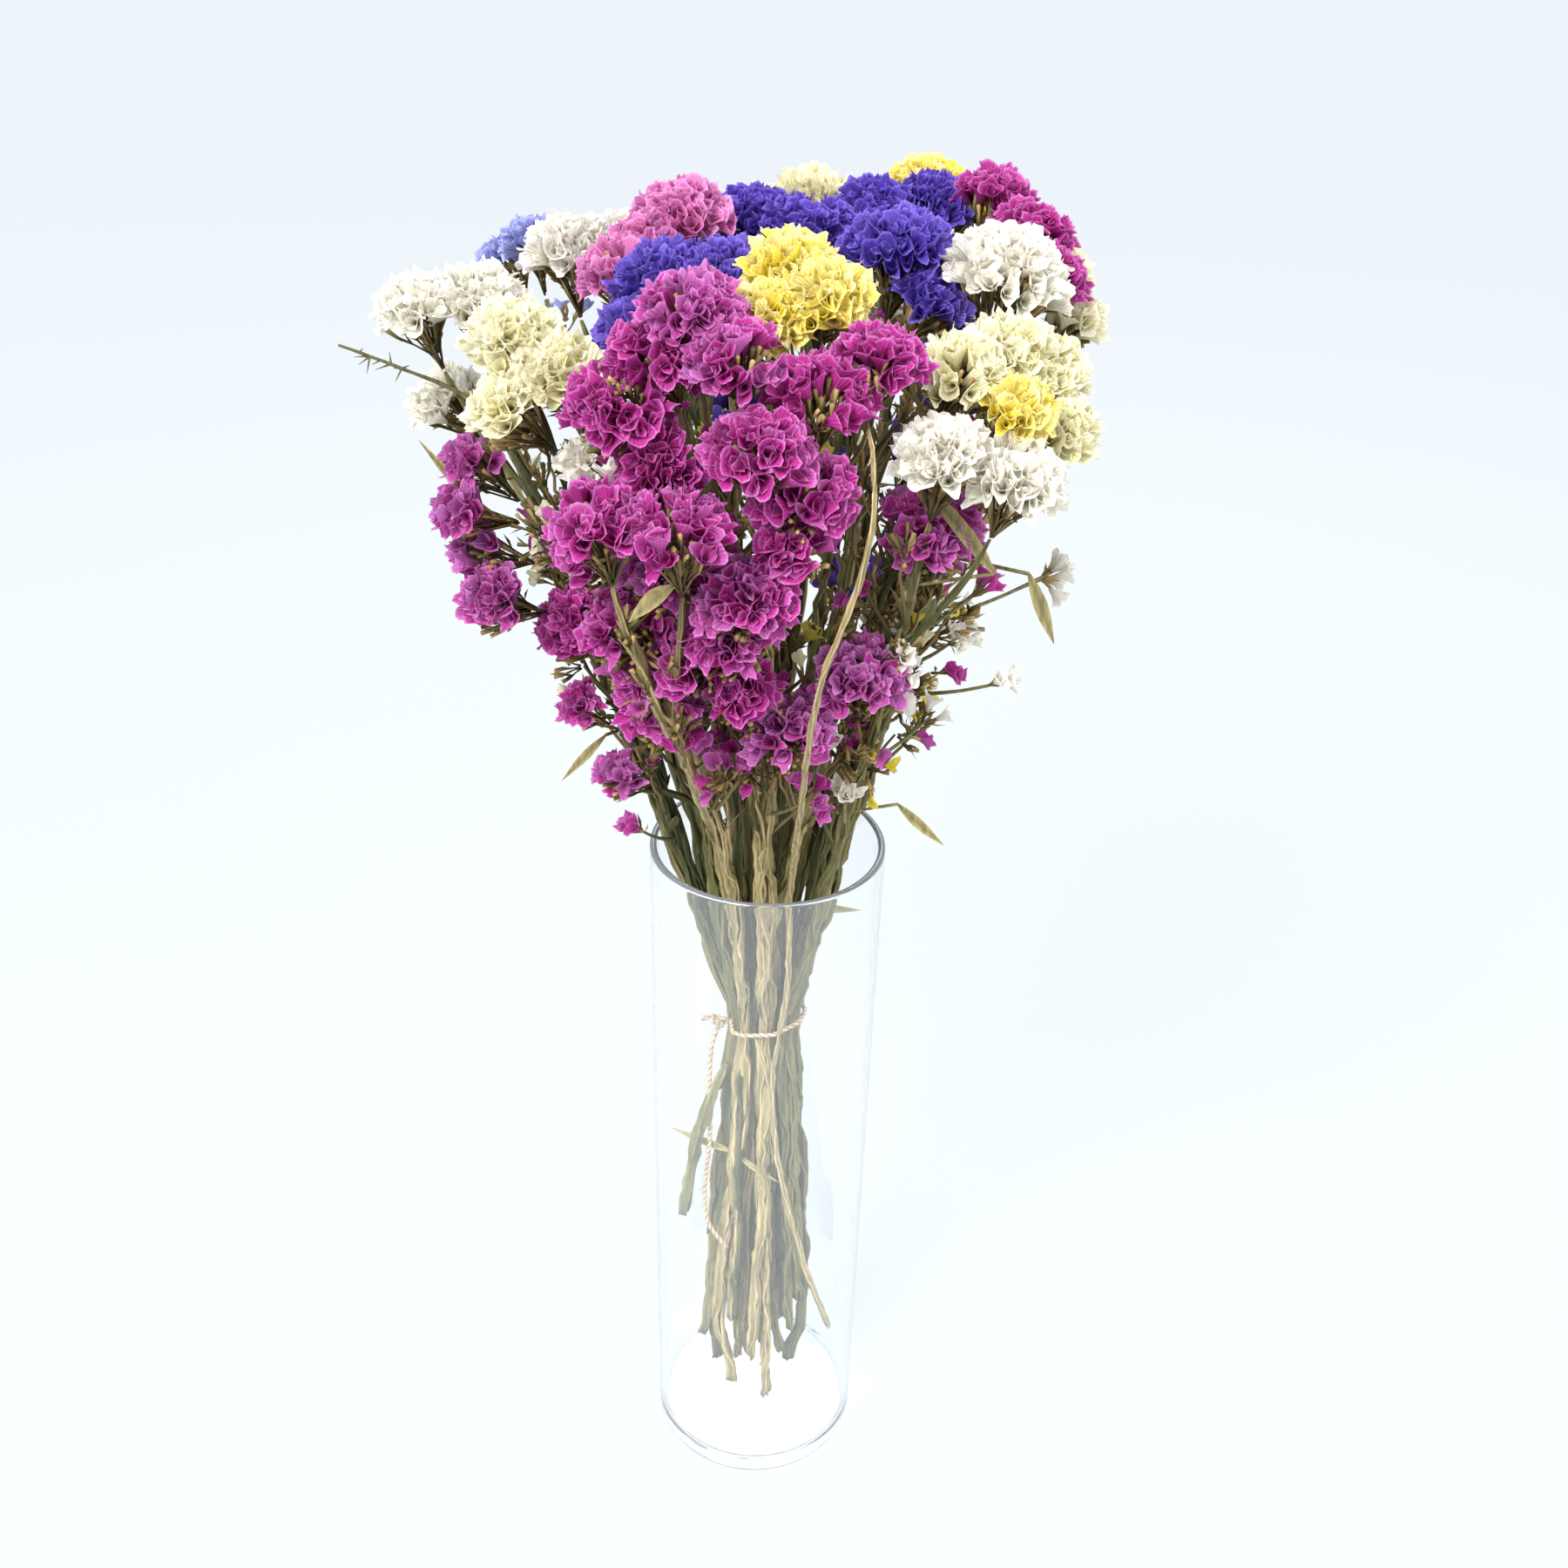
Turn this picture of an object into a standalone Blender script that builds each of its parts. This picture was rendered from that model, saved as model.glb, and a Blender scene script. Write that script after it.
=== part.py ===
"""A tied bunch of dried statice standing in a tall clear glass cylinder vase.

Every plant is one winged stalk that forks into twigs, and each twig ends in a flared brush of dry
calyx tubes. On the brushes sits a head of papery funnel florets. Jute twine holds the stalks together
inside the vase, and the longest stalks stand on the vase's floor.
The origin is the centre of the vase's foot, with +Z up, +X to the right and -Y to the front.
"""
import math
import random

import bmesh
import bpy
import numpy as np
from mathutils import Matrix, Vector

MM = 0.001

# Vase, in metres
VASE_RADIUS = 50 * MM
VASE_HEIGHT = 350 * MM
VASE_WALL = 3 * MM
VASE_FLOOR = 8 * MM
VASE_SIDES = 48

# Bunch, in metres
TIE_HEIGHT = 258 * MM
STALK_RADIUS = 3.0 * MM
TWIG_RADIUS = 1.2 * MM
BRUSH_LENGTH = 16 * MM
FORK_DROP = 62 * MM
JOIN_RADIUS = 2.3 * MM
TWINE_RADIUS = 1.1 * MM
CLEARANCE = 1.0 * MM
SEAT_GAP = 0.3 * MM

# Florets: how many a lobe has for each square millimetre of its half width squared. The other three
# are shares of the lobe's radius: where the florets leave its core, how deep they are open, and how
# much their rims wave. The last is how far they stand apart at the rim.
FLORETS_PER_MM2 = 0.023
FEWEST_FLORETS = 6
ROOT_SHARE = 0.50
THROAT_SHARE = 0.68
FRILL = 0.08
RIM_GAP = 0.14

# How far below its centre a lobe's flat underside is, and the brush's flare, as shares of its half width
BASE_DROP = 0.28
FLARE = 0.36

# Every stem: its bundle, its colour and its heads. A head is a list of lobes that grow into one
# another. A lobe is its centre (x, y, z) and half width in millimetres, and its lean outwards in
# degrees. The stems of one bundle are pressed into one another at the tie.
STEMS = {
    "white_left": ("left_back", "white", [
        [(-126, -10, 568, 16, 20), (-106, -7, 570, 18, 5)],
        [(-126, 24, 526, 16, 45)],
    ]),
    "white_top_left": ("left_back", "white", [[(-80, 45, 576, 19, 10), (-62, 62, 576, 17, 10)]]),
    "lavender_left": ("left_back", "lavender", [[(-96, 60, 578, 13, 15), (-107, 70, 569, 13, 30)]]),
    "cream_left": ("left", "cream", [
        [(-88, -44, 567, 18, 20), (-71, -56, 559, 18, 30), (-86, -62, 549, 17, 50)],
    ]),
    "white_small": ("left", "white", [[(-62, -68, 535, 11, 50)]]),
    "magenta_left": ("left", "magenta", [
        [(-103, -40, 524, 14, 45), (-106, -49, 509, 14, 78), (-102, -47, 494, 14, 75), (-96, -57, 480, 16, 70)],
        [(-69, -47, 434, 11, 50)],
        [(-56, -46, 404, 12, 60)],
    ]),
    "rose_top": ("top", "rose", [[(-37, 40, 590, 20, 5), (-48, 26, 584, 16, 10), (-57, 10, 578, 17, 15)]]),
    "violet_left": ("top", "violet", [[(-38, -18, 580, 20, 20), (-20, -20, 581, 20, 10), (-48, -31, 567, 16, 40)]]),
    "violet_top": ("top_back", "violet", [
        [(-12, 54, 586, 20, 5), (9, 36, 588, 19, 5)],
        [(34, 60, 592, 17, 10), (57, 68, 592, 18, 12)],
    ]),
    "cream_back": ("top_back", "cream", [[(11, 100, 588, 18, 15), (-11, 108, 578, 18, 25)]]),
    "yellow_back": ("right_back", "yellow", [[(56, 104, 592, 19, 15), (78, 100, 582, 18, 30)]]),
    "violet_right": ("right_top", "violet", [[(41, 10, 587, 22, 8), (51, -4, 573, 17, 35)]]),
    "magenta_right": ("right_back", "magenta", [
        [(78, 58, 598, 16, 15), (90, 43, 589, 17, 30), (98, 26, 577, 15, 45)],
    ]),
    "white_right": ("right_top", "white", [[(77, -8, 583, 24, 12)]]),
    "cream_far_right": ("right", "cream", [[(101, 48, 574, 16, 35), (107, 31, 562, 15, 45)]]),
    "yellow_mid": ("mid", "yellow", [[(3, -42, 593, 16, 5), (15, -58, 587, 16, 25)], [(-4, -62, 581, 16, 35)]]),
    "cream_right": ("right", "cream", [
        [(60, -60, 565, 17, 30), (76, -46, 567, 18, 15), (90, -40, 561, 16, 35), (93, -54, 546, 16, 50)],
    ]),
    "yellow_right": ("right_front", "yellow", [[(77, -73, 557, 14, 45)]]),
    "white_low_right": ("right_front", "white", [[(54, -84, 544, 18, 15), (76, -86, 539, 18, 20)]]),
    "magenta_low_right": ("right_front", "magenta", [[(52, -63, 512, 20, 40)]]),
    "magenta_top": ("mid", "magenta", [
        [(-26, -74, 586, 17, 15), (-12, -88, 575, 16, 35)],
        [(13, -88, 564, 18, 20), (31, -80, 573, 16, 10)],
    ]),
    "magenta_mid_left": ("mid_left", "magenta", [
        [(-36, -76, 572, 18, 35), (-49, -86, 558, 18, 60), (-37, -90, 541, 17, 65)],
        [(-34, -92, 506, 17, 60), (-58, -82, 510, 16, 60)],
    ]),
    "magenta_comb": ("mid_left", "magenta", [[(-52, -110, 529, 18, 15), (-29, -114, 528, 18, 15)]]),
    "magenta_mid": ("front", "magenta", [[(-4, -104, 551, 18, 35), (10, -98, 536, 17, 50), (6, -98, 519, 15, 60)]]),
    "magenta_low_mid": ("front", "magenta", [
        [(-8, -105, 503, 17, 60), (-13, -98, 487, 17, 70)],
        [(-26, -91, 474, 16, 65), (-11, -88, 463, 15, 65)],
    ]),
    "magenta_low": ("front_low", "magenta", [[(7, -78, 442, 17, 55)], [(32, -74, 462, 18, 40)]]),
    "magenta_low_left": ("front_low", "magenta", [
        [(-47, -84, 482, 18, 60), (-42, -80, 463, 17, 70), (-36, -74, 445, 17, 65)],
        [(-70, -46, 465, 17, 50)],
    ]),
    "rose_back": ("back", "rose", [[(-54, 98, 552, 19, 30), (-34, 112, 543, 19, 40)]]),
    "white_back": ("back", "white", [[(22, 124, 546, 19, 35), (44, 126, 536, 18, 45)]]),
    "violet_back": ("back_low", "violet", [[(-24, 106, 498, 19, 50), (-2, 110, 502, 19, 50)]]),
    "magenta_back": ("back_low", "magenta", [[(72, 98, 518, 19, 45), (92, 80, 524, 18, 50)]]),
}

# Colours, in linear light
COLOURS = {
    "white": (0.80, 0.80, 0.72),
    "cream": (0.85, 0.82, 0.50),
    "yellow": (0.86, 0.72, 0.10),
    "rose": (0.62, 0.18, 0.42),
    "magenta": (0.46, 0.05, 0.24),
    "violet": (0.10, 0.06, 0.45),
    "lavender": (0.35, 0.36, 0.68),
    "stalk": (0.20, 0.19, 0.09),
    "jute": (0.50, 0.34, 0.20),
}
GLASS = (0.85, 0.93, 0.94)

# Levels, in metres, at which the stalks are set out so that they clear one another
LEVELS = np.array([20, 110, 190, 258, 300, 345, 375, 405, 435, 465, 495, 525, 550]) * MM
TIE_LEVEL = 3
ROUNDS = 260
STRAIGHT_ENOUGH = 0.35 * MM

# The twine's knot, and the route of its free end from there, in millimetres
KNOT = (-19.4, -4.4, 256)
TAIL = [
    (-20.6, -5.6, 252.8), (-23, -9, 243), (-23.5, -14, 222), (-23, -17, 195), (-25, -20, 170), (-23, -25, 152),
    (-14, -28, 138),
]


def unit(v):
    return v / np.linalg.norm(v)


class Lobe:
    """One dome of a head: its centre, radii, upright axis, and the brush and twig that carry it."""

    def __init__(self, stem, bundle, head, row):
        x, y, z, half_width, lean = row
        self.stem, self.bundle, self.head = stem, bundle, head
        self.centre = np.array([x, y, z]) * MM
        self.radius = half_width * MM
        self.height = 0.85 * self.radius
        outward = unit(np.array([x, y, 0.0]))
        lean = math.radians(lean)
        self.axis = outward * math.sin(lean) + np.array([0, 0, math.cos(lean)])
        self.across = unit(np.cross([0.0, 0.0, 1.0], outward))
        self.deep = np.cross(self.axis, self.across)
        self.base = self.centre - self.axis * BASE_DROP * self.radius
        self.apex = self.base - self.axis * BRUSH_LENGTH
        self.heart = self.centre + self.axis * 0.2 * self.radius
        self.turn = (x * 7 + y * 3 + z) % 10

    def reach(self, direction):
        """The lobe's radius in a direction, before its neighbours press on it."""
        across, deep, up = (float(direction @ v) for v in (self.across, self.deep, self.axis))
        size = 1 / math.sqrt(
            (across / self.radius) ** 2 + (deep / (0.92 * self.radius)) ** 2 + (up / self.height) ** 2
        )
        turn = math.atan2(deep, across)
        return size * (1 + 0.07 * math.sin(3 * turn + self.turn) * (1 - up * up))

    def brush_balls(self):
        """Points up the brush with its radius at each."""
        for share in (-0.15, 0.1, 0.4, 0.7, 1.0):
            yield self.apex + (self.base - self.apex) * share, TWIG_RADIUS + max(0, share) * (FLARE * self.radius - TWIG_RADIUS)


def read_stems():
    """For each head its name, colour and lobes."""
    heads = {}
    for stem, (bundle, colour, rows) in STEMS.items():
        for number, row in enumerate(rows, 1):
            name = f"head_{stem}" if len(rows) == 1 else f"head_{stem}_{number}"
            heads[name] = (colour, [Lobe(stem, bundle, name, r) for r in row])
    return heads


# Setting out the stalks and twigs


class Path:
    """A stalk, or a twig of the stalk that is its parent. Its free points lie on levels first to last."""

    def __init__(self, lobe, first, last, xy, radius, parent=None):
        self.lobe, self.first, self.last, self.xy = lobe, first, last, xy
        self.radius, self.parent = radius, parent
        self.foot = None
        below = lobe.axis / max(lobe.axis[2], 0.6) * 8 * MM
        self.tips = [lobe.apex - below, lobe.apex]

    def points(self):
        rows = [np.append(self.xy[i], LEVELS[i]) for i in range(self.first, self.last + 1)]
        if self.foot is not None:
            slope = (rows[0] - rows[1]) / (rows[1][2] - rows[0][2])
            rows[0] = rows[0] + slope * (rows[0][2] - self.foot)
        return np.array(rows + self.tips)

    def bends(self):
        """The points without those that are in line with their neighbours."""
        points = list(self.points())
        i = 1
        while i < len(points) - 2:
            low, mid, high = points[i - 1:i + 2]
            t = (mid[2] - low[2]) / (high[2] - low[2])
            off = np.linalg.norm(low + (high - low) * t - mid)
            if off < STRAIGHT_ENOUGH and abs(mid[2] - TIE_HEIGHT) > MM:
                points.pop(i)
            else:
                i += 1
        return np.array(points)

    def at(self, z):
        points = self.points()
        return np.array([np.interp(z, points[:, 2], points[:, i]) for i in (0, 1)])


def tie_places(stems):
    """Where each stalk passes the tie: its own side of the bunch, packed close together."""
    names = list(stems)
    bundles = [stems[n][0].bundle for n in names]
    middles = {n: np.mean([l.centre[:2] for l in stems[n]], axis=0) for n in names}
    shared = {b: np.mean([middles[n] for n in names if stems[n][0].bundle == b], axis=0) for b in set(bundles)}
    places = np.array([0.02 * middles[n] + 0.12 * shared[b] for n, b in zip(names, bundles)])
    apart = 2 * STALK_RADIUS + SEAT_GAP
    kin = np.array([[a == b for b in bundles] for a in bundles])
    wanted = np.where(kin, 1.05 * STALK_RADIUS, apart)
    for step in range(1200):
        offset = places[:, None] - places[None]
        distance = np.linalg.norm(offset, axis=2) + 1e-9
        pull = np.where(kin, 0.1 if step < 900 else 0.3, 0.0)
        change = np.maximum(0, wanted - distance) * 0.5 - np.maximum(0, distance - wanted) * pull
        np.fill_diagonal(change, 0)
        places += (offset / distance[..., None] * change[..., None]).sum(axis=1)
        places *= 0.985 if step < 900 else 0.998
    return {name: place for name, place in zip(names, places)}


def course(start, start_z, lobe, levels):
    """A curve that leaves upright and arrives along a lobe's axis, read at the levels."""
    end, end_z = lobe.apex[:2], lobe.apex[2]
    rise = end_z - start_z
    slope = lobe.axis[:2] / max(lobe.axis[2], 0.5) * rise
    points = []
    for z in levels:
        t = (z - start_z) / rise
        points.append(start + (end - start) * (0.4 * t + 0.6 * t * t * (3 - 2 * t)) + slope * t * t * (t - 1) * 0.35)
    return points


def first_paths(stems):
    """Every stem's main stalk to its highest lobe, and a twig from it to each of the others."""
    places = tie_places(stems)
    draw = random.Random(11)
    resting = sorted(stems, key=lambda n: -places[n][1])[6:10]
    paths = []
    for stem, lobes in stems.items():
        top = max(lobes, key=lambda l: l.apex[2])
        place = places[stem]
        xy = np.zeros((len(LEVELS), 2))
        spread = draw.uniform(1.9, 2.7)
        last = int(np.searchsorted(LEVELS, top.apex[2] - 16 * MM)) - 1
        for i in range(TIE_LEVEL + 1):
            xy[i] = place * (1 + (spread - 1) * (TIE_HEIGHT - LEVELS[i]) / TIE_HEIGHT)
        xy[TIE_LEVEL + 1:last + 1] = course(place, TIE_HEIGHT, top, LEVELS[TIE_LEVEL + 1:last + 1])
        main = Path(top, 0, last, xy, STALK_RADIUS)
        main.foot = VASE_FLOOR + SEAT_GAP if stem in resting else draw.uniform(26, 84) * MM
        paths.append(main)
        for lobe in lobes:
            if lobe is not top:
                low = lobe.apex[2] - FORK_DROP
                first = int(np.clip(np.argmin(abs(LEVELS - low)), TIE_LEVEL + 1, last))
                while LEVELS[first] > lobe.apex[2] - 20 * MM:
                    first -= 1
                end = max(first, int(np.searchsorted(LEVELS, lobe.apex[2] - 16 * MM)) - 1)
                side = np.zeros((len(LEVELS), 2))
                side[first:end + 1] = course(xy[first], LEVELS[first], lobe, LEVELS[first:end + 1])
                paths.append(Path(lobe, first, end, side, TWIG_RADIUS, main))
    return paths


def relax(paths, lobes):
    """Moves the stalks until they clear one another, the heads, the tail of twine and the vase's mouth."""
    count, levels = len(paths), len(LEVELS)
    places = np.array([p.xy for p in paths])
    live = np.array([[p.first <= i <= p.last for i in range(levels)] for p in paths])
    free = live.copy()
    for k, path in enumerate(paths):
        if path.parent is None:
            free[k, TIE_LEVEL] = False
        else:
            free[k, path.first] = False
    parents = [paths.index(p.parent) if p.parent else None for p in paths]
    halves = np.zeros((2 * levels - 1, levels))
    for i in range(levels):
        halves[2 * i, i] = 1
        if i < levels - 1:
            halves[2 * i + 1, i] = halves[2 * i + 1, i + 1] = 0.5
    heights = halves @ LEVELS
    alive = np.array([[live[k][row > 0].all() for row in halves] for k in range(count)])
    kin = np.array([[a.lobe.bundle == b.lobe.bundle for b in paths] for a in paths])
    radius = np.array([p.radius for p in paths])
    balls = []
    for lobe in lobes:
        balls += [(lobe, centre, size + 0.3 * MM) for centre, size in lobe.brush_balls()]
        balls.append((lobe, lobe.centre, 0.75 * lobe.radius))
    middles = np.array([b[1] for b in balls])
    sizes = np.array([b[2] for b in balls])
    own = np.array([[b[0] is p.lobe for b in balls] for p in paths])
    tail = np.array(TAIL) * MM
    for step in range(ROUNDS):
        spots = np.einsum("el,kld->ekd", halves, places)
        run = np.gradient(spots, heights, axis=0)
        slant = np.sqrt(1 + (run ** 2).sum(axis=2)).clip(1, 2)
        slant = np.where(alive.T, slant, 1)
        moved = np.zeros_like(spots)
        for e, z in enumerate(heights):
            on = np.flatnonzero(alive[:, e])
            spot, size = spots[e, on], radius[on] * slant[e, on]
            offset = spot[:, None] - spot[None]
            far = np.linalg.norm(offset, axis=2) + 1e-9
            short = np.maximum(0, size[:, None] + size[None] + CLEARANCE - far)
            short[kin[np.ix_(on, on)]] = 0
            push = (offset / far[..., None] * short[..., None]).sum(axis=1) * 0.5
            lift = sizes ** 2 - (middles[:, 2] - z) ** 2
            near = np.flatnonzero(lift > 0)
            away = spot[:, None] - middles[None, near, :2]
            far = np.linalg.norm(away, axis=2) + 1e-9
            short = np.maximum(0, np.sqrt(lift[near])[None] + size[:, None] + 0.4 * MM - far)
            short[own[np.ix_(on, near)]] = 0
            push += (away / far[..., None] * short[..., None]).sum(axis=1)
            if tail[-1, 2] < z < tail[0, 2]:
                middle = np.array([np.interp(z, tail[::-1, 2], tail[::-1, i]) for i in (0, 1)])
                away = spot - middle
                far = np.linalg.norm(away, axis=1) + 1e-9
                push += away / far[:, None] * np.maximum(0, size + 2.2 * MM - far)[:, None]
            if z < VASE_HEIGHT + 12 * MM:
                limit = VASE_RADIUS - VASE_WALL - size - 0.7 * MM
                far = np.linalg.norm(spot + push, axis=1)
                push += (spot + push) * (np.minimum(1, limit / far) - 1)[:, None]
            moved[e, on] = push
        change = np.einsum("el,ekd->kld", halves, moved) * 0.7
        places += np.where(free[..., None], change, 0)
        ease = 0.16 if step < 0.6 * ROUNDS else 0.03
        for k, path in enumerate(paths):
            if parents[k] is not None:
                places[k, path.first] = places[parents[k], path.first]
            for i in range(max(path.first, 1), path.last + 1):
                if free[k, i]:
                    ahead = np.append(places[k, i + 1], LEVELS[i + 1]) if i < path.last else path.tips[0]
                    t = (LEVELS[i] - LEVELS[i - 1]) / (ahead[2] - LEVELS[i - 1])
                    straight = places[k, i - 1] * (1 - t) + ahead[:2] * t
                    places[k, i] += ease * (straight - places[k, i])
    for path, xy in zip(paths, places):
        path.xy = xy


# Half-spaces that keep a lobe and its brush off their neighbours


def add_plane(planes, lobe, point, radius, end=None):
    """Keeps what lies round the line from the brush's foot to end on the inner side of a ball."""
    if end is None:
        end = lobe.centre + lobe.axis * 0.2 * lobe.height
    spine = end - lobe.apex
    t = np.clip((point - lobe.apex) @ spine / (spine @ spine), 0, 1)
    away = point - lobe.apex - spine * t
    far = np.linalg.norm(away)
    if radius < far < 2.4 * lobe.radius + radius:
        planes.append((away / far, point @ away / far - radius - 0.6 * CLEARANCE))


def pressing_planes(lobe, paths, lobes):
    """Planes (normal, offset), with the lobe where normal . x is below offset."""
    planes = []
    for other in lobes:
        if other is lobe:
            continue
        across = other.centre - lobe.centre
        far = np.linalg.norm(across)
        if far < 1.5 * (lobe.radius + other.radius):
            normal = across / far
            middle = lobe.centre @ normal + far * lobe.radius / (lobe.radius + other.radius)
            planes.append((normal, middle - 0.5 * SEAT_GAP))
        for point, radius in other.brush_balls():
            add_plane(planes, lobe, point, radius)
    for path in paths:
        if path.lobe is lobe:
            continue
        points = path.points()
        for a, b in zip(points[:-1], points[1:]):
            if min(a[2], b[2]) < lobe.centre[2] + 2 * lobe.radius and max(a[2], b[2]) > lobe.centre[2] - 3 * lobe.radius:
                for t in np.linspace(0, 1, 7):
                    add_plane(planes, lobe, a + (b - a) * t, path.radius)
    if lobe.centre[2] < VASE_HEIGHT + 90 * MM:
        planes.append((np.array([0, 0, -1.0]), -(VASE_HEIGHT + 1.5 * MM)))
    return planes


def join_planes(group):
    """For each lobe of a head, the planes that keep its brush off the twigs that join the lobes."""
    planes = {lobe: [] for lobe in group}
    for a, b in zip(group[:-1], group[1:]):
        for t in np.linspace(0, 1, 7):
            for lobe in group:
                add_plane(planes[lobe], lobe, a.heart + (b.heart - a.heart) * t, JOIN_RADIUS, lobe.base)
    return planes


def pressed(origin, direction, planes, reach):
    """The length along direction from origin that stays on the inner side of all the planes."""
    for normal, offset in planes:
        slope = normal @ direction
        if slope > 1e-6:
            reach = min(reach, max(0.0, offset - normal @ origin) / slope)
    return reach


# Heads


def floret_directions(lobe, count):
    """Evenly spread directions over the lobe's upper side, and one straight down."""
    golden = math.pi * (3 - math.sqrt(5))
    lowest = math.cos(math.radians(100))
    found = []
    for k in range(count):
        up = 1 - (1 - lowest) * (k + 0.5) / count
        ring = math.sqrt(max(0, 1 - up * up))
        turn = golden * k + lobe.turn
        found.append(lobe.across * ring * math.cos(turn) + lobe.deep * ring * math.sin(turn) + lobe.axis * up)
    return found + [-lobe.axis]


def cells(directions):
    """The corners between the directions on a unit ball, and for each direction those round it."""
    ball = bmesh.new()
    verts = [ball.verts.new(d) for d in directions]
    bmesh.ops.convex_hull(ball, input=verts)
    ball.faces.index_update()
    corners = [f.calc_center_median().normalized() for f in ball.faces]
    rings = []
    for vert in verts:
        side = vert.co.orthogonal().normalized()
        front = vert.co.cross(side)
        ring = [f.index for f in vert.link_faces]
        ring.sort(key=lambda i: math.atan2(corners[i].dot(front), corners[i].dot(side)))
        rings.append(ring)
    ball.free()
    return [np.array(c) for c in corners], rings


def lobe_mesh(lobe, planes, draw):
    """A small core with flared, frilled funnels standing out of it all over, down to its underside."""
    count = max(FEWEST_FLORETS, round(FLORETS_PER_MM2 * (lobe.radius / MM) ** 2))
    directions = floret_directions(lobe, count)
    corners, rings = cells(directions)
    floor = [(-lobe.axis, -(lobe.base @ lobe.axis))]
    tallest = 1 + FRILL + 0.06
    mesh = bmesh.new()

    def vert(direction, share):
        direction = unit(direction)
        far = pressed(lobe.centre, direction, planes, lobe.reach(direction) * tallest)
        far = pressed(lobe.centre, direction, floor, far * share / tallest)
        return mesh.verts.new(lobe.centre + direction * far)

    under = set(rings[-1])
    roots = [vert(c - 0.4 * lobe.axis, tallest) if i in under else vert(c, ROOT_SHARE) for i, c in enumerate(corners)]
    for site, ring in zip(directions[:-1], rings):
        size = 1 + draw.uniform(-0.06, 0.06)
        rim = []
        for k, i in enumerate(ring):
            frill = FRILL * (1 if k % 2 else -1) * draw.uniform(0.6, 1)
            rim.append(vert(corners[i] * (1 - RIM_GAP) + site * RIM_GAP, size + frill))
        throat = vert(site, THROAT_SHARE * size)
        for k, i in enumerate(ring):
            j = (k + 1) % len(ring)
            mesh.faces.new([roots[i], roots[ring[j]], rim[j]])
            mesh.faces.new([roots[i], rim[j], rim[k]])
            mesh.faces.new([rim[k], rim[j], throat])
    middle = mesh.verts.new(lobe.base)
    for i, j in zip(rings[-1], rings[-1][1:] + rings[-1][:1]):
        mesh.faces.new([roots[i], roots[j], middle])
    return mesh


def head_meshes(group, planes, draw):
    """The lobes of one head, and the short twigs hidden inside it that join each to the next."""
    meshes = [lobe_mesh(lobe, planes[lobe], draw) for lobe in group]
    for a, b in zip(group[:-1], group[1:]):
        over = unit(b.heart - a.heart) * MM
        meshes.append(tube([a.heart - over, b.heart + over], [JOIN_RADIUS] * 2, 3))
    return meshes


# Solids


def new_object(name, mesh, material=None):
    data = bpy.data.meshes.new(name)
    bmesh.ops.recalc_face_normals(mesh, faces=mesh.faces)
    mesh.to_mesh(data)
    mesh.free()
    thing = bpy.data.objects.new(name, data)
    bpy.context.scene.collection.objects.link(thing)
    if material is not None:
        data.materials.append(material)
    return thing


def sound(mesh):
    """Whether a mesh is one closed skin: two faces on every edge, and all of it connected."""
    if any(len(edge.link_faces) != 2 for edge in mesh.edges):
        return False
    first = mesh.verts[:][0]
    seen, reached = {first}, [first]
    while reached:
        vert = reached.pop()
        for edge in vert.link_edges:
            other = edge.other_vert(vert)
            if other not in seen:
                seen.add(other)
                reached.append(other)
    return len(seen) == len(mesh.verts)


def tidy(data):
    """Takes out the edges that a Boolean leaves on flat ground, and makes triangles of what is left.
    The first way that gives a sound mesh is kept. Says whether there was one."""
    for flat, cut in ((0.1, "BEAUTY"), (0.1, "EAR_CLIP"), (0, "BEAUTY"), (0, "EAR_CLIP")):
        mesh = bmesh.new()
        mesh.from_mesh(data)
        if flat:
            bmesh.ops.dissolve_limit(mesh, angle_limit=math.radians(flat), verts=mesh.verts, edges=mesh.edges)
        bmesh.ops.triangulate(mesh, faces=mesh.faces, ngon_method=cut)
        good = sound(mesh)
        if good:
            mesh.to_mesh(data)
        mesh.free()
        if good:
            return True
    return False


def fused(name, meshes, material):
    """One object from several closed meshes, joined by a Boolean union, or None where that isn't sound."""
    first = new_object(name, meshes[0], material)
    if len(meshes) == 1:
        return first
    others = bpy.data.collections.new(name)
    bpy.context.scene.collection.children.link(others)
    for i, mesh in enumerate(meshes[1:]):
        piece = new_object(f"{name}_{i}", mesh, material)
        bpy.context.scene.collection.objects.unlink(piece)
        others.objects.link(piece)
    union = first.modifiers.new("join", "BOOLEAN")
    union.operation = "UNION"
    union.operand_type = "COLLECTION"
    union.collection = others
    union.solver = "MANIFOLD"
    graph = bpy.context.evaluated_depsgraph_get()
    joined = bpy.data.meshes.new_from_object(first.evaluated_get(graph))
    first.modifiers.clear()
    good = tidy(joined)
    first.data = joined
    for piece in list(others.objects):
        bpy.data.objects.remove(piece)
    bpy.data.collections.remove(others)
    if not good:
        bpy.data.objects.remove(first)
        return None
    return first


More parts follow.
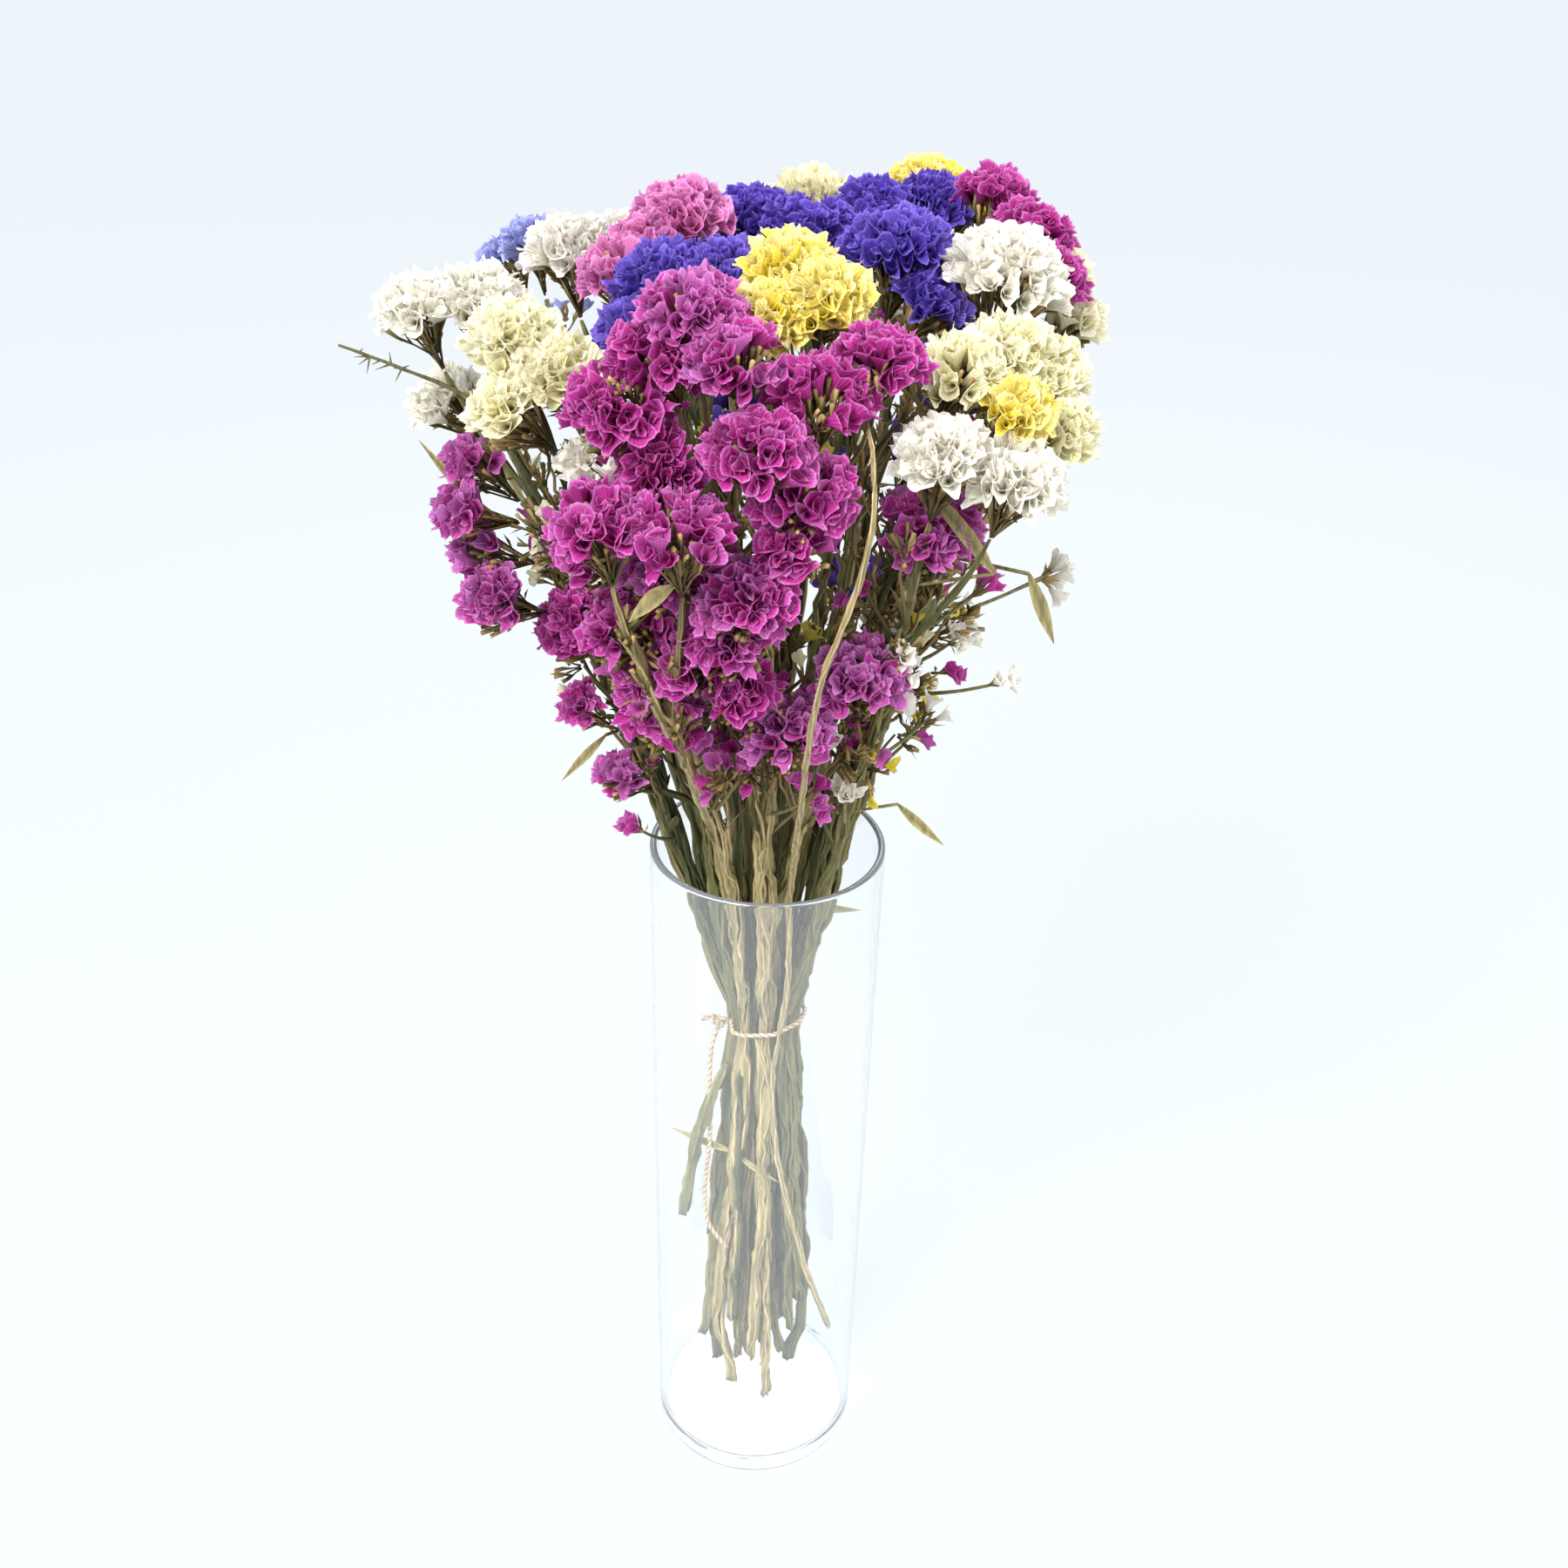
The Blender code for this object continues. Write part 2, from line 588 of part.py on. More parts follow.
def tube(points, radii, sides, wings=0.0, turn=0.0, crown=None):
    """A closed tube through points. wings draws every second corner in, as on a winged stalk. crown is
    the lobe, and the planes that press on it, whose brush the tube flares into."""
    mesh = bmesh.new()
    points = [Vector(p) for p in points]
    rings = []
    side = Vector((math.cos(turn), math.sin(turn), 0))
    for i, point in enumerate(points):
        ahead = (points[min(i + 1, len(points) - 1)] - points[max(i - 1, 0)]).normalized()
        side = (side - ahead * side.dot(ahead)).normalized()
        front = ahead.cross(side)
        ring = []
        for k in range(sides):
            angle = 2 * math.pi * k / sides
            far = radii[i] * (1 - wings * (k % 2))
            ring.append(mesh.verts.new(point + (side * math.cos(angle) + front * math.sin(angle)) * far))
        rings.append(ring)
    if crown is not None:
        lobe, planes = crown
        top = lobe.base - lobe.axis * SEAT_GAP
        ring = []
        for k, vert in enumerate(rings[-1]):
            out = np.array(vert.co) - lobe.apex
            out = unit(out - lobe.axis * (out @ lobe.axis))
            far = pressed(top, out, planes, FLARE * lobe.radius * (1.0 if k % 2 else 0.8))
            ring.append(mesh.verts.new(top + out * far))
        rings.append(ring)
    bridge(mesh, rings)
    return mesh


def bridge(mesh, rings):
    """Closed skin over rings of corners, triangulated."""
    for low, high in zip(rings[:-1], rings[1:]):
        for k, corner in enumerate(low):
            j = (k + 1) % len(low)
            mesh.faces.new([corner, low[j], high[j], high[k]])
    mesh.faces.new(rings[0][::-1])
    mesh.faces.new(rings[-1])
    bmesh.ops.triangulate(mesh, faces=mesh.faces)


def stalks(bundle, paths, planes, material):
    """A bundle's winged stalks with their twigs, each flared into its brush, as one solid."""
    meshes = []
    for path in paths:
        points = path.bends()
        crown = (path.lobe, planes[path.lobe])
        if path.parent is None:
            radii = [path.radius if p[2] < VASE_HEIGHT else 0.8 * path.radius for p in points]
            radii[-2:] = [1.3 * TWIG_RADIUS, 1.1 * TWIG_RADIUS]
            place = path.xy[TIE_LEVEL]
            turn = math.atan2(place[1], place[0])
            meshes.append(tube(points, radii, 6, wings=0.36, turn=turn, crown=crown))
        else:
            lead = points[1] - points[0]
            points = np.vstack([points[0] - lead * 2.5 * MM / lead[2], points[1:]])
            meshes.append(tube(points, [TWIG_RADIUS] * len(points), 5, crown=crown))
    return fused(f"stalks_{bundle}", meshes, material)


def vase(material):
    """The glass cylinder: a turned outline with a thick foot and a rounded rim."""
    inner = VASE_RADIUS - VASE_WALL
    outline = [(VASE_RADIUS - 4 * MM, 0), (VASE_RADIUS - 1 * MM, 1 * MM), (VASE_RADIUS, 4 * MM)]
    for k in range(5):
        angle = math.pi * k / 4
        outline.append((
            VASE_RADIUS - VASE_WALL / 2 + VASE_WALL / 2 * math.cos(angle),
            VASE_HEIGHT - VASE_WALL / 2 + VASE_WALL / 2 * math.sin(angle),
        ))
    outline += [(inner, VASE_FLOOR + 4 * MM), (inner - 4 * MM, VASE_FLOOR)]
    mesh = bmesh.new()
    turns = [2 * math.pi * k / VASE_SIDES for k in range(VASE_SIDES)]
    bridge(mesh, [[mesh.verts.new((r * math.cos(t), r * math.sin(t), z)) for t in turns] for r, z in outline])
    thing = new_object("vase", mesh, material)
    thing.data.shade_smooth()
    thing.data.set_sharp_from_angle(angle=math.radians(35))
    return thing


def loop_point(mains, angle, out_by):
    """A point just outside the stalks at the tie, in the direction of an angle."""
    z = TIE_HEIGHT + 3 * MM * math.cos(angle + 0.6)
    out = np.array([math.cos(angle), math.sin(angle)])
    outer = max(mains, key=lambda p: p.at(z) @ out)
    spot = outer.at(z) + out * (outer.radius + out_by)
    return np.array([spot[0], spot[1], z])


def twine(mains, material):
    """The jute loop drawn round the stalks, with its knot on the left."""
    steps = 26
    loop = [loop_point(mains, 2 * math.pi * k / steps, TWINE_RADIUS + 0.5 * MM) for k in range(steps)]
    ring = bmesh.new()
    rows = []
    for k, point in enumerate(loop):
        ahead = unit(loop[(k + 1) % steps] - loop[k - 1])
        out = unit(np.cross(ahead, [0, 0, 1]))
        up = np.cross(out, ahead)
        rows.append([
            ring.verts.new(point + (out * math.cos(a) + up * math.sin(a)) * TWINE_RADIUS)
            for a in (2 * math.pi * j / 5 for j in range(5))
        ])
    for k, low in enumerate(rows):
        high = rows[(k + 1) % steps]
        for j in range(5):
            ring.faces.new([low[j], low[(j + 1) % 5], high[(j + 1) % 5], high[j]])
    bmesh.ops.triangulate(ring, faces=ring.faces)
    knot = bmesh.new()
    place = Matrix.Translation(Vector(KNOT) * MM)
    bmesh.ops.create_icosphere(knot, subdivisions=2, radius=3.1 * MM, matrix=place)
    return fused("twine", [ring, knot], material)


def tail(material):
    """The twine's free end, hanging from the knot down the front of the stalks."""
    points = np.array(TAIL) * MM
    return new_object("twine_tail", tube(points, [TWINE_RADIUS] * len(points), 6), material)


def new_material(name, colour):
    material = bpy.data.materials.new(name)
    material.use_nodes = True
    shader = material.node_tree.nodes["Principled BSDF"]
    shader.inputs["Base Color"].default_value = (*colour, 1)
    shader.inputs["Roughness"].default_value = 0.8
    return material


def glass_material(colour):
    material = new_material("glass", colour)
    shader = material.node_tree.nodes["Principled BSDF"]
    shader.inputs["Roughness"].default_value = 0.03
    shader.inputs["IOR"].default_value = 1.5
    shader.inputs["Transmission Weight"].default_value = 0.95
    return material


def main():
    for thing in list(bpy.data.objects):
        bpy.data.objects.remove(thing)
    heads = read_stems()
    lobes = [lobe for _, group in heads.values() for lobe in group]
    stems = {name: [l for l in lobes if l.stem == name] for name in STEMS}
    paths = first_paths(stems)
    relax(paths, lobes)
    mains = [p for p in paths if p.parent is None]
    planes = {lobe: pressing_planes(lobe, paths, lobes) for lobe in lobes}
    materials = {name: new_material(name, rgb) for name, rgb in COLOURS.items()}
    draw = random.Random(5)
    for name, (colour, group) in heads.items():
        for _ in range(4):
            if fused(name, head_meshes(group, planes, draw), materials[colour]) is not None:
                break
        for lobe, more in join_planes(group).items():
            planes[lobe] = planes[lobe] + more
    for bundle in sorted({row[0] for row in STEMS.values()}):
        stalks(bundle, [p for p in paths if p.lobe.bundle == bundle], planes, materials["stalk"])
    vase(glass_material(GLASS))
    twine(mains, materials["jute"])
    tail(materials["jute"])


main()
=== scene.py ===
"""The looks of a tied bunch of dried statice in a tall clear glass cylinder vase.

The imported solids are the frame. Each head's funnels give way to its real florets, the stalks are
followed down through their solids and drawn again as winged, ribbed stems with their calyx brushes,
and the glass, the jute and the small twigs, bracts and leaves are modelled round them. In metres.
"""
import itertools
import math

import bpy
import numpy as np
from mathutils import Matrix, Vector
from mathutils.bvhtree import BVHTree


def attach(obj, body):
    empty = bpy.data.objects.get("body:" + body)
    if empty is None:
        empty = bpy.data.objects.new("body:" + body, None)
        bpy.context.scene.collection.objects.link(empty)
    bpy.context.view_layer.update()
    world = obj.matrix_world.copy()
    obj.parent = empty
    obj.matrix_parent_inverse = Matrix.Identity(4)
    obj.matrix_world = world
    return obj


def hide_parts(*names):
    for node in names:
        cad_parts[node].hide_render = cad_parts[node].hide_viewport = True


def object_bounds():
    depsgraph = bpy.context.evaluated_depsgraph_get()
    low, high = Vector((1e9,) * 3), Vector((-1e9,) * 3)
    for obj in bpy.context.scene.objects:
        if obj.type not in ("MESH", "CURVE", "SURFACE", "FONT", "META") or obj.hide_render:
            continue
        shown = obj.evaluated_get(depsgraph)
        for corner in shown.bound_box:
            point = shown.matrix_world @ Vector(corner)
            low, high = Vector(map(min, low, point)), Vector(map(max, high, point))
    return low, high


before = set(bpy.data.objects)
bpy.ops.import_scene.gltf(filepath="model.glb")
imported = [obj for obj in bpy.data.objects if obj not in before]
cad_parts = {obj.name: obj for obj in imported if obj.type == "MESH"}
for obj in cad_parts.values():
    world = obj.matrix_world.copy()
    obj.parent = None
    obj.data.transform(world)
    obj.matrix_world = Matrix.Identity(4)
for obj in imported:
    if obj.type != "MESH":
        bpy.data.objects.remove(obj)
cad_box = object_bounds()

MM = 0.001

# Camera: where it stands, how far it looks down, its roll and its lens
CAMERA_PLACE = (0.0062, -0.5715, 0.7113)
CAMERA_DOWN = math.radians(30.30)
CAMERA_ROLL = math.radians(1.74)
CAMERA_LENS = 36.56
CAMERA_SENSOR = 36

# Vase
VASE_RADIUS = 50 * MM
VASE_HEIGHT = 350 * MM
VASE_WALL = 3 * MM
VASE_FLOOR = 8 * MM
VASE_SIDES = 128

# Jute: the height of the tie, the cord's radius, the length of one turn of its plies, its sides and its
# steps, then in millimetres its knot, the route of its free end, the stub beyond the knot and the radii
# along a loose fibre
TIE_HEIGHT = 258 * MM
TWINE_RADIUS = 1.1 * MM
TWINE_TURN = 6.5 * MM
ROPE_SIDES = 8
ROPE_STEP = 0.55 * MM
KNOT = (-19.4, -4.4, 256)
TAIL = [
    (-20.6, -5.6, 252.8), (-23, -9, 243), (-23.5, -14, 222), (-23, -17, 195), (-25, -20, 170),
    (-23, -25, 152), (-14, -28, 138),
]
KNOT_STUB = [(0, 0, 0), (-3, -1, 3.5), (-5.5, -2.5, 4), (-8, -3, 2.5)]
FIBRE_RADII = (0.09, 0.07, 0.04)

# Stalks: their radius and their branches', then how far out the two thin stems beside each one lie, with
# their radii, sides and steps, how far below its top they start and the heights in which the second ends,
# in millimetres. Last, how much shorter a bundle's shorter stems are cut at most, and the steps and sides.
STALK_RADIUS = 2.2 * MM
BRANCH_RADIUS = 1.5 * MM
BESIDE = 2.5 * MM
BESIDE_RADII = (1.1, 1.5)
BESIDE_SIDES = 6
BESIDE_STEP = 7 * MM
BESIDE_TOPS = (20, 60)
BESIDE_ENDS = (40, 150)
LONGEST_CUT = 55 * MM
SLICE_STEP = 6 * MM
RING_STEP = 5 * MM
STALK_SIDES = 12

# Following the solids down: how deep inside them stems and branches stay, the height from which a stem is
# as thin as a branch, how far outside them a line ends, how near a stem a branch has joined it, how far
# apart stems are kept, and how much a line leans at most, as a slope
STEM_MARGIN, BRANCH_MARGIN = 2.4 * MM, 1.1 * MM
THIN_FROM = 0.55
LOST = 7 * MM
JOINED = 2.2 * MM
APART = 3.1 * MM
STEEPEST = 1.5

# Florets: radius and depth of the paper funnel, the share of its lobe's half width that the radius is at
# most, how far it leans to the lobe's axis, how many a lobe has for its half width squared, how far down
# its dome they stand in degrees, the corners round the outer funnel and round the one inside it, and how
# many pleats and folds go round it
FLORET_RADIUS = 4.6 * MM
FLORET_DEPTH = 9.0 * MM
FLORET_SHARE = 0.31
FLORET_LEAN = 0.32
FLORETS_PER_MM2 = 0.172
DOME = 84
FLORET_SIDES = 16
INNER_SIDES = 7
PLEATS = 18
FOLDS = 4

# The funnel's rings from its root to its rim: each its share of the radius and of the depth, and how wavy
# it is. Then the inner funnel's share of the size and of the depth, and how many millimetres lower it is.
FUNNEL_RINGS = [(0.16, 0.0, 0.0), (0.44, 0.52, 0.09), (0.84, 0.93, 0.18), (1.0, 1.03, 0.23)]
INNER_SIZE, INNER_DEPTH, INNER_DROP = 0.55, 0.7, 1.2

# Below the florets: the radii along a calyx tube and along its branchlet, and its bracts' lengths, all in
# millimetres, then the bracts' width, the lengths of the tube and of the whole brush, and how far a lobe's
# base is below its middle as a share of its half width
CALYX_RADII = (0.3, 0.55, 0.9)
BRANCHLET_RADII = (0.55, 0.38)
BRACT_LENGTHS = (3.5, 7.5)
BRACT_WIDTH = 1.4 * MM
CALYX_LENGTH = 11 * MM
BRUSH_LENGTH = 16 * MM
BASE_DROP = 0.28

# The breadth of the bare patches between a comb's groups of florets, how far up the dome the calyxes are
# hidden below them (as a cosine), and the limit over which a spot is bare
PATCH = 21 * MM
HIDDEN = 0.70
PATCHY = {
    "magenta": 0.95, "rose": 1.5, "violet": 1.3, "yellow": 1.6, "white": 1.9, "cream": 1.8, "lavender": 2.2,
}

# Side sprays: the lowest height in which they start and the least that the highest one is, how far below
# the head they stop, how near the box's edges they may end, their lengths and the radii of their twigs at
# root and tip in millimetres, the part of their forks that flowers, and how many a stem has. Last, how far
# apart the bracts stand along a stem.
SPRAY_LOWEST, SPRAY_HIGHEST = 375 * MM, 380 * MM
BELOW_HEAD = 42 * MM
LOW_EDGE, HIGH_EDGE = 12 * MM, 22 * MM
SPRAY_LENGTHS = (24, 50)
TWIG_ENDS = (0.95, 0.5)
FLOWERING = 0.45
SPRAYS = {"right": 10, "others": 6, "branches": 1}
BRACT_STEP = 17 * MM

# Every stem, as in the part: its bundle, its colour and its heads. A head is a list of lobes, each its
# centre (x, y, z) and half width in millimetres, and its lean outwards in degrees.
STEMS = {
    "white_left": ("left_back", "white", [
        [(-126, -10, 568, 16, 20), (-106, -7, 570, 18, 5)],
        [(-126, 24, 526, 16, 45)],
    ]),
    "white_top_left": ("left_back", "white", [[(-80, 45, 576, 19, 10), (-62, 62, 576, 17, 10)]]),
    "lavender_left": ("left_back", "lavender", [[(-96, 60, 578, 13, 15), (-107, 70, 569, 13, 30)]]),
    "cream_left": ("left", "cream", [
        [(-88, -44, 567, 18, 20), (-71, -56, 559, 18, 30), (-86, -62, 549, 17, 50)],
    ]),
    "white_small": ("left", "white", [[(-62, -68, 535, 11, 50)]]),
    "magenta_left": ("left", "magenta", [
        [
            (-103, -40, 524, 14, 45), (-106, -49, 509, 14, 78), (-102, -47, 494, 14, 75),
            (-96, -57, 480, 16, 70),
        ],
        [(-69, -47, 434, 11, 50)],
        [(-56, -46, 404, 12, 60)],
    ]),
    "rose_top": ("top", "rose", [[(-37, 40, 590, 20, 5), (-48, 26, 584, 16, 10), (-57, 10, 578, 17, 15)]]),
    "violet_left": ("top", "violet", [
        [(-38, -18, 580, 20, 20), (-20, -20, 581, 20, 10), (-48, -31, 567, 16, 40)],
    ]),
    "violet_top": ("top_back", "violet", [
        [(-12, 54, 586, 20, 5), (9, 36, 588, 19, 5)],
        [(34, 60, 592, 17, 10), (57, 68, 592, 18, 12)],
    ]),
    "cream_back": ("top_back", "cream", [[(11, 100, 588, 18, 15), (-11, 108, 578, 18, 25)]]),
    "yellow_back": ("right_back", "yellow", [[(56, 104, 592, 19, 15), (78, 100, 582, 18, 30)]]),
    "violet_right": ("right_top", "violet", [[(41, 10, 587, 22, 8), (51, -4, 573, 17, 35)]]),
    "magenta_right": ("right_back", "magenta", [
        [(78, 58, 598, 16, 15), (90, 43, 589, 17, 30), (98, 26, 577, 15, 45)],
    ]),
    "white_right": ("right_top", "white", [[(77, -8, 583, 24, 12)]]),
    "cream_far_right": ("right", "cream", [[(101, 48, 574, 16, 35), (107, 31, 562, 15, 45)]]),
    "yellow_mid": ("mid", "yellow", [
        [(3, -42, 593, 16, 5), (15, -58, 587, 16, 25)],
        [(-4, -62, 581, 16, 35)],
    ]),
    "cream_right": ("right", "cream", [
        [(60, -60, 565, 17, 30), (76, -46, 567, 18, 15), (90, -40, 561, 16, 35), (93, -54, 546, 16, 50)],
    ]),
    "yellow_right": ("right_front", "yellow", [[(77, -73, 557, 14, 45)]]),
    "white_low_right": ("right_front", "white", [[(54, -84, 544, 18, 15), (76, -86, 539, 18, 20)]]),
    "magenta_low_right": ("right_front", "magenta", [[(52, -63, 512, 20, 40)]]),
    "magenta_top": ("mid", "magenta", [
        [(-26, -74, 586, 17, 15), (-12, -88, 575, 16, 35)],
        [(13, -88, 564, 18, 20), (31, -80, 573, 16, 10)],
    ]),
    "magenta_mid_left": ("mid_left", "magenta", [
        [(-36, -76, 572, 18, 35), (-49, -86, 558, 18, 60), (-37, -90, 541, 17, 65)],
        [(-34, -92, 506, 17, 60), (-58, -82, 510, 16, 60)],
    ]),
    "magenta_comb": ("mid_left", "magenta", [[(-52, -110, 529, 18, 15), (-29, -114, 528, 18, 15)]]),
    "magenta_mid": ("front", "magenta", [
        [(-4, -104, 551, 18, 35), (10, -98, 536, 17, 50), (6, -98, 519, 15, 60)],
    ]),
    "magenta_low_mid": ("front", "magenta", [
        [(-8, -105, 503, 17, 60), (-13, -98, 487, 17, 70)],
        [(-26, -91, 474, 16, 65), (-11, -88, 463, 15, 65)],
    ]),
    "magenta_low": ("front_low", "magenta", [[(7, -78, 442, 17, 55)], [(32, -74, 462, 18, 40)]]),
    "magenta_low_left": ("front_low", "magenta", [
        [(-47, -84, 482, 18, 60), (-42, -80, 463, 17, 70), (-36, -74, 445, 17, 65)],
        [(-70, -46, 465, 17, 50)],
    ]),
    "rose_back": ("back", "rose", [[(-54, 98, 552, 19, 30), (-34, 112, 543, 19, 40)]]),
    "white_back": ("back", "white", [[(22, 124, 546, 19, 35), (44, 126, 536, 18, 45)]]),
    "violet_back": ("back_low", "violet", [[(-24, 106, 498, 19, 50), (-2, 110, 502, 19, 50)]]),
    "magenta_back": ("back_low", "magenta", [[(72, 98, 518, 19, 45), (92, 80, 524, 18, 50)]]),
}

# Florets' colours in linear light: at the root, in the funnel, at the rim, and faded
PETALS = {
    "white": ((0.66, 0.66, 0.42), (0.95, 0.93, 0.82), (1.0, 0.98, 0.93), (0.98, 0.95, 0.82)),
    "cream": ((0.64, 0.62, 0.26), (0.95, 0.91, 0.58), (0.99, 0.97, 0.80), (0.98, 0.96, 0.84)),
    "yellow": ((0.60, 0.54, 0.06), (0.96, 0.82, 0.09), (0.98, 0.92, 0.42), (0.97, 0.94, 0.68)),
    "rose": ((0.40, 0.20, 0.18), (0.70, 0.19, 0.46), (0.88, 0.42, 0.72), (0.84, 0.48, 0.78)),
    "magenta": ((0.32, 0.08, 0.14), (0.56, 0.045, 0.33), (0.74, 0.27, 0.62), (0.64, 0.33, 0.68)),
    "violet": ((0.08, 0.045, 0.16), (0.12, 0.06, 0.46), (0.28, 0.20, 0.74), (0.30, 0.22, 0.74)),
    "lavender": ((0.28, 0.28, 0.36), (0.38, 0.41, 0.78), (0.58, 0.62, 0.92), (0.64, 0.66, 0.92)),
}

# Small things that the photo shows, in millimetres: a bare thorny twig, small groups of florets on fine
# twigs, leaves as (root, tip, width) with which of them hang on a twig, and stalks with no head: one down
# the front with its fork, and a flat stub in the vase
BARE_TWIG = [(-153, -20, 560), (-133, -15, 551), (-111, -10, 539), (-95, -16, 520), (-82, -14, 494)]
LONE_FLORETS = [
    ("white", (102, -30, 488)), ("white", (29, -60, 408)), ("magenta", (16, -70, 413)),
    ("white", (60, -50, 438)), ("white", (67, -50, 470)), ("white", (39, -72, 574)),
    ("white", (-48, -92, 539)), ("magenta", (-54, -45, 402)), ("magenta", (-50, -40, 378)),
    ("white", (83, -56, 455)), ("magenta", (72, -68, 497)),
]
LEAVES = [
    ((75, -70, 503), (49, -85, 541), 5.5), ((-30, -112, 513), (-45, -117, 504), 6.5),
    ((13, -20, 332), (41, -18, 326), 4), ((-12, -15, 187), (-41, -14, 199), 3.5),
    ((-10, -16, 186), (8, -27, 179), 3.0), ((-104, -46, 512), (-120, -50, 536), 3),
    ((88, -62, 500), (100, -66, 474), 5), ((-62, -40, 420), (-80, -46, 402), 3.5),
    ((50, -48, 398), (68, -56, 384), 4),
]
LEAVES_ON_TWIGS = [0, 6, 7, 8]
THORNS = 16
FRONT_STALK = [
    (28, -86, 560), (30, -100, 555), (31, -112, 542), (29, -117, 525), (24, -116, 505), (17, -111, 479),
    (14, -100, 448), (12, -72, 400), (10, -42, 352), (10, -33, 320), (10, -27, 290), (7, -23.5, 262),
    (5, -23.5, 242), (5, -24, 228), (8, -25, 195), (14, -27, 163), (25, -29, 120), (35, -29, 87),
]
FRONT_FORK = [(-3, -23.5, 262), (1, -24, 246), (5, -24, 230)]
STUB = [(-16, -10, 236), (-27, -17, 205), (-35, -20, 152)]
LOOSE_STALKS = [(FRONT_STALK, 1.35, 0.95), (FRONT_FORK, 1.2, 0.95), (STUB, 2.6, 0.4)]

# The floor's and the room's pale light, and the lamps: name, place, size in metres and watts
BACKDROP = (0.88, 0.94, 0.99)
FLOOR_HALF = 30
FLOOR_GLOW = 0.86
LAMPS = [
    ("key", (-0.9, -1.3, 1.9), 0.8, 62), ("fill", (1.3, -0.9, 1.2), 1.2, 18),
    ("back", (0.3, 1.4, 1.8), 1.2, 18),
]
AIM = Vector((0, 0, 0.4))

# Glass: how much of it is dusty, and after how many bounces it glows teal instead, a painted glow that
# stands for light led along the wall
DUST = 0.045
PAINTED_GLOW_AFTER = 7

# Stems that dried to straw rather than olive
STRAW = ("front", "front_low", "mid", "mid_left")

# Seeds of what is drawn by chance
SMALL_SEED, BUNDLE_SEED, HEAD_SEED, JUTE_SEED = 21, 40, 100, 7


def unit(v):
    """Vectors, in the last axis, made one long."""
    v = np.asarray(v, float)
    return v / np.maximum(np.linalg.norm(v, axis=-1, keepdims=True), 1e-12)


# Meshes


class Gather:
    """Vertices with their tints, and faces, gathered into one piece."""

    def __init__(self):
        self.verts, self.tints, self.quads, self.tris = [], [], [], []
        self.count = 0

    def add(self, verts, tints, quads, tris=()):
        self.verts.append(np.reshape(verts, (-1, 3)))
        self.tints.append(np.reshape(tints, (-1, 3)))
        self.quads.append(np.reshape(quads, (-1, 4)).astype(int) + self.count)
        if len(tris):
            self.tris.append(np.reshape(tris, (-1, 3)).astype(int) + self.count)
        self.count += len(self.verts[-1])

    def piece(self, name, material, slot, nodes=()):
        """Makes the object, rides it on the part and has it stand for the CAD nodes."""
        faces = np.concatenate(self.quads).tolist()
        if self.tris:
            faces += np.concatenate(self.tris).tolist()
        data = bpy.data.meshes.new(name)
        data.from_pydata(np.concatenate(self.verts).tolist(), [], faces)
        tint = data.color_attributes.new("tint", "FLOAT_COLOR", "POINT")
        tints = np.concatenate(self.tints)
        tint.data.foreach_set("color", np.hstack([tints, np.ones((len(tints), 1))]).ravel())
        data.shade_smooth()
        data.materials.append(material)
        return dress(name, data, nodes)


def placed(name, data):
    """A new object in the scene."""
    thing = bpy.data.objects.new(name, data)
    bpy.context.scene.collection.objects.link(thing)
    return thing


def dress(name, data, nodes=()):
    """A piece of the part, which rides on it and stands for CAD nodes."""
    thing = placed(name, data)
    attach(thing, "root")
    if nodes:
        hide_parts(*nodes)
    return thing


def round_ring(sides):
    """The corners of a ring, and the next corner of each."""
    return np.arange(sides), (np.arange(sides) + 1) % sides


def skin_quads(rings, sides):
    """The faces between rings of corners that follow each other."""
    k, j = round_ring(sides)
    rows = np.arange(rings - 1)[:, None] * sides
    return np.stack([rows + k, rows + j, rows + sides + j, rows + sides + k], axis=-1).reshape(-1, 4)


def tubes(gather, paths, radii, sides, chance, factors=1.0, ridge=0.5, aside=None, twist=0.0):
    """Adds closed tubes. paths is (tubes, points, 3) and radii (tubes, points). factors scales the
    radius at each side, ridge is the tint of each side, and twist turns the sides at each point."""
    paths = np.asarray(paths, float)
    count, points, _ = paths.shape
    ahead = unit(np.gradient(paths, axis=1))
    if aside is None:
        over = paths[:, -1] - paths[:, 0]
        aside = np.cross(over, np.eye(3)[np.argmin(abs(over), axis=1)])
    side = unit(aside)[:, None] * np.ones((1, points, 1))
    side = unit(side - ahead * (side * ahead).sum(-1, keepdims=True))
    front = np.cross(ahead, side)
    turn = 2 * np.pi * np.arange(sides) / sides + np.broadcast_to(twist, (count, points))[..., None]
    spoke = side[:, :, None] * np.cos(turn)[..., None] + front[:, :, None] * np.sin(turn)[..., None]
    radii = np.broadcast_to(radii, (count, points))
    factors = np.broadcast_to(factors, (count, points, sides))
    skin = paths[:, :, None] + spoke * (radii[..., None] * factors)[..., None]
    verts = np.concatenate([skin.reshape(count, -1, 3), paths[:, :1], paths[:, -1:]], axis=1)
    along = np.broadcast_to(np.linspace(0, 1, points)[None, :, None], skin.shape[:3])
    tint = np.empty(skin.shape)
    tint[..., 0] = along
    tint[..., 1] = np.broadcast_to(np.reshape(chance, (-1, 1, 1)), skin.shape[:3])
    tint[..., 2] = np.broadcast_to(ridge, skin.shape[:3])
    tints = np.concatenate([tint.reshape(count, -1, 3), tint[:, 0, :1], tint[:, -1, :1]], axis=1)
    k, j = round_ring(sides)
    last = (points - 1) * sides
    caps = np.vstack([
        np.stack([np.full(sides, points * sides), j, k], axis=-1),
        np.stack([np.full(sides, points * sides + 1), last + k, last + j], axis=-1),
    ])
    start = (np.arange(count) * verts.shape[1])[:, None, None]
    gather.add(verts, tints, skin_quads(points, sides)[None] + start, caps[None] + start)


